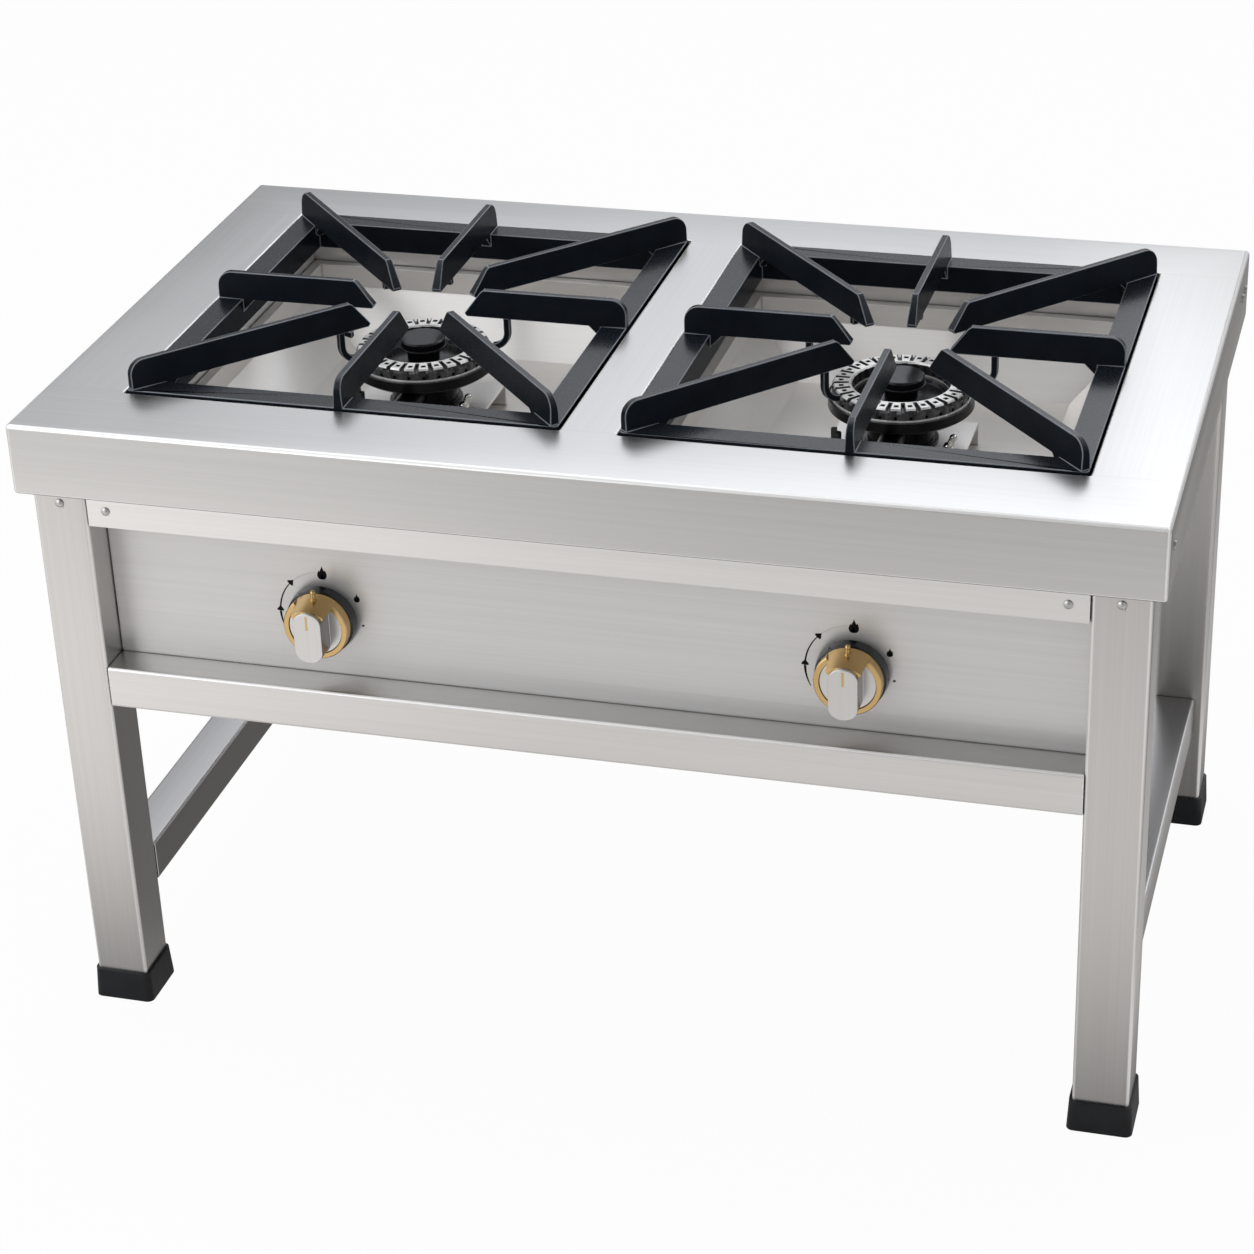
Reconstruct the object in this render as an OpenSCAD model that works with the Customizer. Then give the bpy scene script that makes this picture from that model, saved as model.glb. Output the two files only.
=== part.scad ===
// Low two-burner gas stove: a folded stainless worktop on four square legs,
// two cast grates, two cast burners and two taps behind a front panel.
// Frame: origin on the floor under the middle, +X to the right, +Y to the rear, +Z up.

/* [Worktop] */
// Width of the worktop, left to right
top_w = 1000; // [900:5:1300]
// Depth of the worktop, front to rear
top_d = 600; // [560:5:800]
// Height of the worktop above the floor
top_h = 600; // [540:5:800]
// Height of the folded apron
apron_h = 65; // [50:1:80]
// Thickness of the worktop sheet
top_sheet = 2; // [1.5:0.1:3]
// Outside radius of the worktop's bends
bend_r = 4; // [3:0.5:8]

/* [Legs and feet] */
// Side of the square leg tube
leg_size = 50; // [40:1:50]
// Wall of the leg tube
leg_wall = 2; // [1.5:0.1:3]
// Outside corner radius of the leg tube
leg_r = 4; // [3:0.5:8]
// Set-back of the legs from the worktop's edges
leg_inset = 12; // [8:1:12]
// Height of a foot cap
foot_h = 30; // [20:1:40]
// Wall of a foot cap at its top
foot_wall = 2.5; // [2:0.1:4]
// Extra width of a foot cap at the floor, each side
foot_flare = 1.5; // [0.5:0.1:3]
// Thickness of a foot cap's sole
foot_sole = 6; // [4:0.5:10]

/* [Rails and panels] */
// Side of the square rail tube
rail_size = 40; // [30:1:45]
// Wall of the rail tube
rail_wall = 1.5; // [1:0.1:3]
// Outside corner radius of the rail tube
rail_r = 3; // [2:0.5:5]
// Height of the low side rails' underside above the floor
side_rail_z = 105; // [60:5:200]
// How far the fascia shows below the apron
fascia_show = 32; // [20:1:50]
// Height of the control panel between fascia and lower rail
panel_h = 142; // [120:1:170]
// Set-back of the control panel behind the legs' front
panel_set = 34; // [26:1:38]
// Thickness of fascia, panel and well sheet
sheet = 1.5; // [1:0.1:2]
// Width of the folded flanges of the panels
flange = 20; // [12:1:26]
// Side play of panels between the legs
panel_play = 0.5; // [0.2:0.1:1]

/* [Grates] */
// Gap between the two grates
grate_gap = 54; // [48:2:70]
// Margin of the worktop left and right of the grates
grate_side = 77; // [76:1:95]
// Margin of the worktop in front of the grates
grate_front = 86; // [80:1:110]
// Margin of the worktop behind the grates
grate_rear = 74; // [74:1:95]
// Play around a grate in its cut-out
grate_play = 2; // [1:0.5:4]
// Width of the grate's frame bars
bar_w = 24; // [18:1:30]
// Depth of the grate's frame bars
bar_h = 26; // [20:1:32]
// How far the grate's frame stands above the worktop
grate_rise = 2; // [0:0.5:5]
// Height of the fingers above the grate's frame
finger_h = 26; // [20:1:34]
// Thickness of a finger at its foot
finger_t = 9; // [7:0.5:12]
// Thickness of a finger at its upper edge
finger_top_t = 6; // [5:0.5:6.5]
// Radius of a finger's upper outer corner
finger_r = 14; // [8:1:18]
// Distance of a side finger's lower tip from the burner's axis
tip_r = 44; // [40:1:52]
// Distance of a corner finger's lower tip from the burner's axis
corner_tip_r = 54; // [46:1:60]
// How far a finger's tip slants back to its upper edge
tip_slant = 17; // [8:1:22]
// Thickness of the hooks under the fingers
hook_t = 6; // [5:0.5:8]
// Drop of the hooks' bend below the fingers
hook_drop = 26; // [20:1:30]
// Play between the hooks and the burner cup
hook_play = 3; // [1:0.5:6]

/* [Wells and pans] */
// Width of the ledge that carries a grate
ledge_w = 14; // [10:1:18]
// Height of the well's wall under that ledge
well_drop = 20; // [14:1:26]
// Width of the lip that carries a pan
lip_w = 8; // [6:1:12]
// Play between a pan and its well
pan_play = 1; // [0.5:0.1:2]
// Height of a pan's upright rim wall
pan_wall_h = 20; // [12:1:24]
// Height and width of a pan's sloping sides
pan_slope = 46; // [40:1:52]
// Depth of the bridge that carries a burner
bridge_h = 22; // [16:1:26]
// Width of that bridge, front to rear
bridge_w = 96; // [90:1:110]
// Length of that bridge, left to right
bridge_l = 124; // [118:1:150]

/* [Burners] */
// Radius of the burner cup
cup_r = 65.5; // [60:0.5:68]
// Height of the burner cup's rim
cup_h = 12; // [10:0.5:16]
// Radius of the burner's stem
stem_r = 30; // [24:0.5:32]
// Height of the stem under the cup
stem_h = 32; // [31:1:40]
// Radius of the mixing tube
mix_r = 12; // [11:0.5:12]
// Radius of the mixing tube's bore
mix_bore_r = 9; // [8:0.5:9.5]
// Radius of the mixing tube's flared mouth
mouth_r = 20; // [19:0.5:22]
// Outer radius of the crown
crown_r = 62; // [58:0.5:63]
// Inner radius of the crown
crown_in_r = 43.5; // [38:0.5:46]
// Height of the crown above the cup
crown_h = 12; // [10:0.5:16]
// Number of port segments around the crown
ports = 28; // [20:1:36]
// Radius of the flame ports
port_r = 1.6; // [1:0.1:2]
// Radius of the centre cap
cap_r = 21; // [16:0.5:26]
// Thickness of the centre cap
cap_t = 9; // [6:0.5:12]
// Running clearance between loose burner pieces
burner_play = 0.5; // [0.3:0.1:0.8]

/* [Taps and knobs] */
// Distance of each knob from the stove's middle
knob_x = 237; // [215:1:260]
// Height of the knobs above the lower rail
knob_z = 58; // [50:1:70]
// Gap between a knob's skirt and the panel
knob_gap = 5; // [4.5:0.1:8]
// Push travel of a knob
push = 4; // [3:0.1:4.2]
// Radius of the knob's skirt
skirt_r = 32; // [28:0.5:36]
// Length of the knob's skirt
skirt_l = 10; // [8:0.5:12]
// Radius of the knob's collar at the skirt
ring_r = 29.5; // [28:0.5:31]
// Length of the knob's collar
ring_l = 11; // [8:0.5:13]
// Radius of the knob's face disc
face_r = 24.5; // [20:0.5:26]
// How far the ends of the grip bar stay inside the disc's edge
grip_inset = 0.3; // [0.2:0.1:5]
// Half angle of the wedge on the collar
wedge_a = 38; // [34:1:45]
// Width of the grip bar
grip_w = 22; // [16:0.5:26]
// How far the grip stands out of the face disc
grip_out = 17; // [12:0.5:17]
// Radius of the tap's stem
spindle_r = 4; // [3:0.1:5]
// Radial running clearance of stem and plug
run_gap = 0.05; // [0.02:0.01:0.1]
// Radius of the tap's plug
plug_r = 8; // [7:0.5:10]
// Length of the tap's plug
plug_l = 45; // [40:1:50]
// Radius of the tap's body
tap_r = 17; // [14:0.5:19]
// Radius of the gas rail
rail_pipe_r = 11; // [9:0.5:12]
// Radius of the supply tubes
tube_r = 5; // [4:0.5:6]
// Radius of the inlet's male thread
inlet_r = 10.5; // [8:0.5:12]
// Length of the inlet's male thread
inlet_l = 15; // [12:1:20]

/* [Fasteners] */
// Radius of the bolt heads
head_r = 3.8; // [3.4:0.1:6]
// Height of the bolt heads
head_h = 2.2; // [1.5:0.1:3]
// Radius of the bolt shanks
shank_r = 2; // [1.5:0.1:2.8]
// Radial clearance round the bolt shanks
shank_gap = 0.3; // [0.2:0.1:0.5]

/* [Hidden] */
$fn = 48;
// A small overrun that lets a cut pass its face
eps = 1;

// Legs: centre lines, inner faces and front face
leg_x = top_w / 2 - leg_inset - leg_size / 2;
leg_y = top_d / 2 - leg_inset - leg_size / 2;
in_x = leg_x - leg_size / 2;
in_y = leg_y - leg_size / 2;
out_y = leg_y + leg_size / 2;
out_x = leg_x + leg_size / 2;
under_top = top_h - top_sheet;

// Heights of fascia, panel and lower rails
fascia_z = top_h - apron_h - fascia_show;
rail_top = fascia_z - panel_h;
panel_y = out_y - panel_set;
half_panel = in_x - panel_play;
flange_relief = 3;

// Grates, cut-outs and wells
grate_w = (top_w - grate_gap) / 2 - grate_side;
grate_d = top_d - grate_front - grate_rear;
grate_x = grate_gap / 2 + grate_w / 2;
grate_y = -top_d / 2 + grate_front + grate_d / 2;
grate_top = top_h + grate_rise;
ledge_z = grate_top - bar_h;
cut_w = grate_w + 2 * grate_play;
cut_d = grate_d + 2 * grate_play;
low_w = cut_w - 2 * ledge_w;
low_d = cut_d - 2 * ledge_w;
lip_z = ledge_z - well_drop;
well_flange = 10;
pan_w = low_w - 2 * lip_w - 2 * pan_play;
pan_d = low_d - 2 * lip_w - 2 * pan_play;
pan_floor = lip_z - pan_wall_h - pan_slope;

// Burner heights, from the pan's floor up
bridge_top = pan_floor + sheet + bridge_h;
cup_z = bridge_top + stem_h;
cup_top = cup_z + cup_h;
mix_z = bridge_top + stem_h / 2;
mouth_reach = 26;
mouth_y = grate_y - pan_d / 2 - mouth_reach;
neck_r = 15;
cap_z = cup_top + crown_h - 2;

// Taps: the plug's bore starts behind the flange that lies on the panel
tap_z = rail_top + knob_z;
tap_flange_t = 3;
tap_face_y = -panel_y + sheet;
plug_y = tap_face_y + tap_flange_t + 4;
tap_end_y = plug_y + plug_l + 12;
gas_rail_y = plug_y + plug_l / 2 + 6;
gas_rail_z = tap_z - tap_r - 10 - rail_pipe_r;
gas_rail_end = knob_x + 60;
stem_in = 34;

// Knob: faces along -Y from the panel
skirt_y = -panel_y - knob_gap;
ring_y = skirt_y - skirt_l;
face_y = ring_y - ring_l;
disc_set = 3;
stem_front_y = face_y + disc_set;
grip_l = 2 * (face_r - grip_inset);

// A rectangle with round corners, centred, made of squares and true circles
module rounded_rect(w, d, r) {
    square([w - 2 * r, d], center = true);
    square([w, d - 2 * r], center = true);
    for (sx = [-1, 1], sy = [-1, 1])
        translate([sx * (w / 2 - r), sy * (d / 2 - r)])
            circle(r = r);
}

// The outline of a folded hood: square below, round upper corners
module hood_outline(w, h, r) {
    translate([-w / 2, 0])
        square([w, h - r]);
    translate([-w / 2 + r, 0])
        square([w - 2 * r, h]);
    for (sx = [-1, 1])
        translate([sx * (w / 2 - r), h - r])
            circle(r = r);
}

// A block with round upright corners and round upper edges
module hood(w, d, h, r) {
    intersection() {
        linear_extrude(h)
            rounded_rect(w, d, r);
        translate([0, d / 2, 0])
            rotate([90, 0, 0])
                linear_extrude(d)
                    hood_outline(w, h, r);
        translate([-w / 2, 0, 0])
            rotate([90, 0, 90])
                linear_extrude(w)
                    hood_outline(d, h, r);
    }
}

// A cylinder along +Y that starts at the given y
module along_y(y, l, r) {
    translate([0, y, 0])
        rotate([-90, 0, 0])
            cylinder(h = l, r = r);
}

// A round rod between two points, with a ball at its far end that is a little larger
elbow_extra = 0.6;
module rod(a, b, r) {
    v = b - a;
    l = norm(v);
    translate(a)
        rotate([0, acos(v[2] / l), atan2(v[1], v[0])])
            cylinder(h = l, r = r);
    translate(b)
        sphere(r = r + elbow_extra);
}

// A square tube along +Z
module square_tube(size, wall, r, l) {
    linear_extrude(l)
        difference() {
            rounded_rect(size, size, r);
            rounded_rect(size - 2 * wall, size - 2 * wall, r - wall / 2);
        }
}

// Places of the bolts in the legs' faces, for the leg at sx, sy: [x, y, z], then the turn about Z
bolt_z = top_h - apron_h - 12;
function leg_bolts(sx, sy) = [
    [[sx * leg_x, sy * out_y, bolt_z], sy < 0 ? 0 : 180],
    [[sx * out_x, sy * leg_y, bolt_z], sx < 0 ? -90 : 90]
];
// Places of the bolts at the fascias' ends
fascia_bolt_x = in_x - 18;
function fascia_bolts(sy) = [
    for (sx = [-1, 1]) [[sx * fascia_bolt_x, sy * out_y, bolt_z - 4], sy < 0 ? 0 : 180]
];

// Bolt holes through one wall, at the places given
module bolt_holes(places) {
    for (p = places)
        translate(p[0])
            rotate([0, 0, p[1]])
                along_y(-eps, leg_wall + 2 * eps, shank_r + shank_gap);
}

// Bolts with a domed head outside and a shank through the wall
module bolts(places) {
    for (p = places)
        translate(p[0])
            rotate([0, 0, p[1]]) {
                along_y(0, leg_wall + 4, shank_r);
                rotate([90, 0, 0])
                    rotate_extrude()
                        intersection() {
                            square([head_r, head_h]);
                            translate([0, head_h - head_r * 1.6])
                                circle(r = head_r * 1.6);
                        }
            }
}

// Folded sheet worktop with two cut-outs
cut_r = 3;
module worktop() {
    inner_w = top_w - 2 * top_sheet;
    inner_d = top_d - 2 * top_sheet;
    color("silver")
        difference() {
            translate([0, 0, top_h - apron_h])
                hood(top_w, top_d, apron_h, bend_r);
            translate([0, 0, top_h - apron_h - eps])
                hood(inner_w, inner_d, apron_h - top_sheet + eps, bend_r - top_sheet / 2);
            for (s = [-1, 1])
                translate([s * grate_x, grate_y, top_h - top_sheet - eps])
                    linear_extrude(top_sheet + 2 * eps)
                        rounded_rect(cut_w, cut_d, cut_r);
            apron_screw_holes(top_w / 2 - top_sheet - eps, top_sheet + 2 * eps);
        }
}

// Places of the screws that hold the side aprons to the legs
apron_screw_y = [-leg_y - 0.12 * leg_size, leg_y - 0.28 * leg_size, leg_y + 0.16 * leg_size];
apron_screw_z = top_h - apron_h / 2 + 4;
apron_screw_r = 2;
apron_head_r = 4;
apron_head_h = 1.5;

// Holes for those screws along +X from x, on both sides
module apron_screw_holes(x, l) {
    for (s = [-1, 1], y = apron_screw_y)
        translate([s * x, y, apron_screw_z])
            rotate([0, s * 90, 0])
                cylinder(h = l, r = apron_screw_r + shank_gap);
}

// Pan-head screws that hold the side aprons
module apron_screws() {
    shank_l = leg_inset + leg_wall + 3;
    color("silver")
        for (s = [-1, 1], y = apron_screw_y)
            translate([s * top_w / 2, y, apron_screw_z])
                rotate([0, s * 90, 0]) {
                    cylinder(h = apron_head_h, r = apron_head_r);
                    translate([0, 0, -shank_l])
                        cylinder(h = shank_l, r = apron_screw_r);
                }
}

// Leg: a square tube from just above the sole to the worktop's underside
module leg(sx, sy) {
    color("silver")
        difference() {
            translate([sx * leg_x, sy * leg_y, foot_sole])
                square_tube(leg_size, leg_wall, leg_r, under_top - foot_sole);
            bolt_holes(leg_bolts(sx, sy));
            apron_screw_holes(out_x - leg_wall - eps, leg_wall + 2 * eps);
        }
}

// Foot: a black cap round the tube's end, a little wider at the floor
module foot(sx, sy) {
    wide = leg_size + 2 * foot_wall;
    color("black")
        translate([sx * leg_x, sy * leg_y, 0])
            difference() {
                hull() {
                    linear_extrude(0.5)
                        rounded_rect(wide + 2 * foot_flare, wide + 2 * foot_flare, leg_r + foot_wall);
                    translate([0, 0, foot_h - 0.5])
                        linear_extrude(0.5)
                            rounded_rect(wide, wide, leg_r + foot_wall);
                }
                translate([0, 0, foot_sole])
                    linear_extrude(foot_h)
                        rounded_rect(leg_size, leg_size, leg_r);
            }
}

// Fascia: a folded sheet with a top flange under the worktop and a deep bottom flange
module fascia(sy) {
    color("silver")
        difference() {
            union() {
                translate([-half_panel, sy * out_y - (sy > 0 ? sheet : 0), fascia_z])
                    cube([2 * half_panel, sheet, under_top - fascia_z]);
                translate([-half_panel, sy < 0 ? -out_y : out_y - flange, under_top - sheet])
                    cube([2 * half_panel, flange, sheet]);
                translate([-half_panel, sy < 0 ? -out_y : out_y - panel_set - sheet, fascia_z])
                    cube([2 * half_panel, panel_set + sheet, sheet]);
            }
            bolt_holes(fascia_bolts(sy));
        }
}

// Panel between fascia and lower rail, with flanges folded inwards
module upright_panel(sy) {
    face = sy < 0 ? -panel_y : panel_y - sheet;
    back = sy < 0 ? -panel_y : panel_y - flange;
    translate([-half_panel, face, rail_top])
        cube([2 * half_panel, sheet, panel_h]);
    half_flange = half_panel - flange_relief;
    for (z = [rail_top, fascia_z - sheet])
        translate([-half_flange, back, z])
            cube([2 * half_flange, flange, sheet]);
}

module control_panel() {
    color("silver")
        difference() {
            upright_panel(-1);
            for (s = [-1, 1])
                translate([s * knob_x, 0, tap_z])
                    along_y(-panel_y - eps, sheet + 2 * eps, spindle_r + 3);
        }
}

module rear_panel() {
    color("silver")
        upright_panel(1);
}

// Lower rail across the front or the rear
module cross_rail(sy) {
    color("silver")
        translate([-in_x, sy * (out_y - rail_size / 2), rail_top - rail_size / 2])
            rotate([90, 0, 90])
                square_tube(rail_size, rail_wall, rail_r, 2 * in_x);
}

// Low rail between the front and the rear leg of one side
module side_rail(sx) {
    color("silver")
        translate([sx * (in_x + rail_size / 2), in_y, side_rail_z + rail_size / 2])
            rotate([90, 0, 0])
                square_tube(rail_size, rail_wall, rail_r, 2 * in_y);
}

// Side sheet that closes the burner box, lapped inside the legs
side_lap = 8;
module side_panel(sx) {
    color("silver")
        difference() {
            translate([sx > 0 ? in_x - sheet : -in_x, -in_y - side_lap, rail_top - rail_size])
                cube([sheet, 2 * (in_y + side_lap), under_top - rail_top + rail_size]);
            if (sx < 0)
                translate([-in_x - eps, gas_rail_y, gas_rail_z])
                    rotate([0, 90, 0])
                        cylinder(h = sheet + 2 * eps, r = rail_pipe_r + 0.5);
        }
}

// A rectangular frame of sheet: outer size, inner size, height
module ring_sheet(ow, od, iw, id, h) {
    linear_extrude(h)
        difference() {
            square([ow, od], center = true);
            square([iw, id], center = true);
        }
}

// Well: a folded liner hung under the cut-out, with a ledge for the grate and a lip for the pan
module well(s) {
    color("gainsboro")
        translate([s * grate_x, grate_y, 0]) {
            translate([0, 0, under_top - sheet])
                ring_sheet(cut_w + 2 * well_flange, cut_d + 2 * well_flange, cut_w, cut_d, sheet);
            translate([0, 0, ledge_z - sheet])
                ring_sheet(
                    cut_w + 2 * sheet, cut_d + 2 * sheet, cut_w, cut_d, under_top - ledge_z + sheet
                );
            translate([0, 0, ledge_z - sheet])
                ring_sheet(cut_w + 2 * sheet, cut_d + 2 * sheet, low_w, low_d, sheet);
            translate([0, 0, lip_z - sheet])
                ring_sheet(low_w + 2 * sheet, low_d + 2 * sheet, low_w, low_d, ledge_z - lip_z + sheet);
            translate([0, 0, lip_z - sheet])
                ring_sheet(
                    low_w + 2 * sheet, low_d + 2 * sheet, low_w - 2 * lip_w, low_d - 2 * lip_w, sheet
                );
        }
}

// Side view of a pan: upright walls above, sloping sides down to a flat floor
module pan_outline(w, z0, slope, top) {
    polygon([
        [-w / 2, top], [-w / 2, lip_z - pan_wall_h],
        [-w / 2 + slope, z0], [w / 2 - slope, z0],
        [w / 2, lip_z - pan_wall_h], [w / 2, top]
    ]);
}

// The solid that fills a pan of the given size
module pan_block(w, d, z0, top) {
    intersection() {
        translate([0, d / 2, 0])
            rotate([90, 0, 0])
                linear_extrude(d)
                    pan_outline(w, z0, pan_slope, top);
        translate([-w / 2, 0, 0])
            rotate([90, 0, 90])
                linear_extrude(w)
                    pan_outline(d, z0, pan_slope, top);
    }
}

// Drip pan: hangs by its rim on the well's lip; the mixing tube passes its front side
module drip_pan(s) {
    color("gainsboro")
        translate([s * grate_x, grate_y, 0])
            difference() {
                union() {
                    pan_block(pan_w, pan_d, pan_floor, lip_z + sheet);
                    translate([0, 0, lip_z])
                        linear_extrude(sheet)
                            square([low_w - 2 * pan_play, low_d - 2 * pan_play], center = true);
                }
                pan_block(pan_w - 2 * sheet, pan_d - 2 * sheet, pan_floor + sheet, lip_z + sheet + eps);
                translate([0, 0, mix_z])
                    along_y(-pan_d / 2 - eps, pan_slope + eps, mix_r + 2);
            }
}

// Bridge: a short channel on the pan's floor that carries the burner
bridge_sheet = 2;
module burner_bridge(s) {
    inner_w = bridge_w - 2 * bridge_sheet;
    color("gainsboro")
        translate([s * grate_x, grate_y, pan_floor + sheet])
            difference() {
                translate([-bridge_l / 2, -bridge_w / 2, 0])
                    cube([bridge_l, bridge_w, bridge_h]);
                translate([-bridge_l / 2 - eps, -inner_w / 2, -eps])
                    cube([bridge_l + 2 * eps, inner_w, bridge_h - bridge_sheet + eps]);
            }
}

// Outline of the mixing tube from its flared mouth to the burner's axis
mouth_l = 16;
module mixing_outline(mouth, r, start, l) {
    polygon([[0, start], [mouth, start], [mouth, 2], [r, mouth_l], [r, l], [0, l]]);
}

// The mixing tube, laid along +Y under the cup
module mixing_tube(mouth, r, start, l) {
    translate([0, mouth_y - grate_y, mix_z])
        rotate([-90, 0, 0])
            rotate_extrude()
                mixing_outline(mouth, r, start, l);
}

// Cast burner body: stem, cup with a gas channel, neck for the cap, mixing tube to the front
channel_d = 9;
stem_foot = 2.5;
cap_pin_r = 5.5;
cap_pin_l = 6;
way_r = 2.2;
module burner_body(s) {
    way_z = cup_z + way_r + 3.2;
    color("dimgray")
        translate([s * grate_x, grate_y, 0])
            difference() {
                union() {
                    rotate_extrude()
                        difference() {
                            polygon([
                                [0, bridge_top], [stem_r + 4, bridge_top],
                                [stem_r + 4, bridge_top + stem_foot], [stem_r, bridge_top + stem_foot],
                                [stem_r, cup_z - stem_foot], [stem_r + 5, cup_z],
                                [cup_r - 4, cup_z], [cup_r, cup_z + 3], [cup_r, cup_top],
                                [crown_in_r - 3, cup_top], [crown_in_r - 5, cup_top - 3],
                                [neck_r, cup_top - 3], [neck_r, cap_z], [0, cap_z]
                            ]);
                            translate([crown_in_r + 1, cup_top - channel_d])
                                square([crown_r - 3 - crown_in_r, channel_d + eps]);
                        }
                    mixing_tube(mouth_r, mix_r, 0, grate_y - mouth_y);
                }
                mixing_tube(mouth_r - 3, mix_bore_r, -eps, grate_y - mouth_y + mix_bore_r + 1);
                // Riser from the mixing tube, and the four ways out to the channel
                translate([0, 0, mix_z])
                    cylinder(h = way_z + way_r - mix_z, r = mix_bore_r - 2);
                for (a = [45 : 90 : 315])
                    translate([0, 0, way_z])
                        rotate([0, 90, a])
                            cylinder(h = crown_in_r + 3, r = way_r);
                // Hollow for the cap's pin
                translate([0, 0, cap_z - cap_pin_l - 1])
                    cylinder(h = cap_pin_l + 1 + eps, r = cap_pin_r + burner_play);
            }
}

// Crown: a ring with slots between its pads, a port in each pad's side and a well in its top
crown_rim = 3.2;
slot_w = 2.6;
slot_depth = 3;
pad_well_r = 1.5;
crown_foot = 1;
crown_foot_h = 1.5;
module burner_crown(s) {
    step = 360 / ports;
    seat = crown_in_r + 1 + burner_play;
    spigot = crown_r - 2 - burner_play;
    port_z = cup_top + crown_h * 0.3;
    color("lightgray")
        translate([s * grate_x, grate_y, 0])
            difference() {
                rotate_extrude($fn = 96)
                    difference() {
                        polygon([
                            [crown_in_r, cup_top], [seat, cup_top], [seat, cup_top - 3],
                            [spigot, cup_top - 3], [spigot, cup_top],
                            [crown_r + crown_foot, cup_top],
                            [crown_r + crown_foot, cup_top + crown_foot_h],
                            [crown_r, cup_top + crown_foot_h],
                            [crown_r, cup_top + crown_h - 4], [crown_r - 2.5, cup_top + crown_h],
                            [crown_in_r + 1.5, cup_top + crown_h], [crown_in_r, cup_top + crown_h - 2]
                        ]);
                        translate([seat + 2, cup_top - 3 - eps])
                            square([spigot - seat - 4, crown_h * 0.5 + 3 + eps]);
                    }
                for (i = [0 : ports - 1])
                    rotate([0, 0, i * step]) {
                        translate([crown_in_r + crown_rim, -slot_w / 2, cup_top + crown_h - slot_depth])
                            cube([crown_r - crown_in_r, slot_w, slot_depth + eps]);
                        rotate([0, 0, step / 2]) {
                            translate([spigot - 4, 0, port_z])
                                rotate([0, 90, 0])
                                    cylinder(h = 8, r = port_r, $fn = 16);
                            translate([(crown_in_r + crown_r) / 2 + 1, 0, cup_top + crown_h - 2])
                                cylinder(h = 2 + eps, r = pad_well_r, $fn = 16);
                        }
                    }
            }
}

// Cap: a turned disc with a thin flange at its foot, on the neck, with a pin in the neck's hollow
cap_flange = 0.8;
cap_flange_h = 1.4;
module burner_cap(s) {
    color("dimgray")
        translate([s * grate_x, grate_y, cap_z])
            rotate_extrude()
                polygon([
                    [0, -cap_pin_l], [cap_pin_r, -cap_pin_l], [cap_pin_r, 0],
                    [cap_r + cap_flange, 0], [cap_r + cap_flange, cap_flange_h],
                    [cap_r, cap_flange_h], [cap_r, cap_t - 1.5],
                    [cap_r - 1.5, cap_t], [0, cap_t]
                ]);
}

// Side view of a finger, along +X from the axis: slanted tip, round outer corner, foot on the bar
module finger_outline(tip, out, bar) {
    top = finger_h;
    foot = 12;
    polygon([
        [tip, 3], [tip + 2, 0], [out - bar - foot, 0], [out - bar, -foot], [out, -foot],
        [out, top - finger_r], [out - finger_r, top],
        [tip + tip_slant + 2, top], [tip + tip_slant - 1, top - 2]
    ]);
    translate([out - finger_r, top - finger_r])
        circle(r = finger_r);
}

// Inner radius of a hook's bend
hook_bend = 12;
// Hook under a finger: a post and a quarter bend towards the burner
module finger_hook() {
    post = hook_drop - hook_bend;
    translate([cup_r + hook_play, hook_t / 2, -post])
        rotate([90, 0, 0])
            linear_extrude(hook_t)
                intersection() {
                    difference() {
                        circle(r = hook_bend + hook_t);
                        circle(r = hook_bend);
                    }
                    translate([0, -hook_bend - hook_t])
                        square(hook_bend + hook_t);
                }
    translate([cup_r + hook_play + hook_bend, -hook_t / 2, -post])
        cube([hook_t, hook_t, post + 1]);
}

// Short lug under a finger that has no hook
lug_drop = 7;
module finger_lug() {
    translate([cup_r + hook_play + hook_bend, -hook_t / 2, -lug_drop])
        cube([hook_t, hook_t, lug_drop + 1]);
}

// Cast grate: frame, four side fingers, four corner fingers, three hooks and three lugs
module grate(s) {
    corner_a = atan2(grate_d, grate_w);
    corner_l = norm([grate_w, grate_d]) / 2;
    color("dimgray")
        translate([s * grate_x, grate_y, grate_top])
            intersection() {
                union() {
                    translate([0, 0, -bar_h])
                        ring_sheet(grate_w, grate_d, grate_w - 2 * bar_w, grate_d - 2 * bar_w, bar_h);
                    for (a = [0, 180])
                        rotate([0, 0, a])
                            finger(tip_r, grate_w / 2, bar_w);
                    for (a = [90, 270])
                        rotate([0, 0, a])
                            finger(tip_r, grate_d / 2, bar_w);
                    for (a = [corner_a, 180 - corner_a, 180 + corner_a, -corner_a])
                        rotate([0, 0, a])
                            finger(corner_tip_r, corner_l - finger_t / 2, bar_w * 1.35);
                    for (a = [0, 180, 180 + corner_a])
                        rotate([0, 0, a])
                            finger_hook();
                    for (a = [90, corner_a, 180 - corner_a])
                        rotate([0, 0, a])
                            finger_lug();
                }
                translate([0, 0, -bar_h - hook_drop])
                    linear_extrude(bar_h + hook_drop + finger_h + eps)
                        rounded_rect(grate_w, grate_d, 4);
            }
}

// One finger along +X, its sides leaning in from the frame's top upwards
module finger(tip, out, bar) {
    lean = (finger_t - finger_top_t) / 2 / finger_h;
    foot_half = finger_t / 2;
    peak_half = finger_top_t / 2 - lean * eps;
    intersection() {
        translate([0, finger_t / 2, 0])
            rotate([90, 0, 0])
                linear_extrude(finger_t)
                    finger_outline(tip, out, bar);
        rotate([90, 0, 90])
            linear_extrude(out + eps)
                polygon([
                    [-foot_half, -bar_h], [foot_half, -bar_h], [foot_half, 0],
                    [peak_half, finger_h + eps], [-peak_half, finger_h + eps], [-foot_half, 0]
                ]);
    }
}

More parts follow.
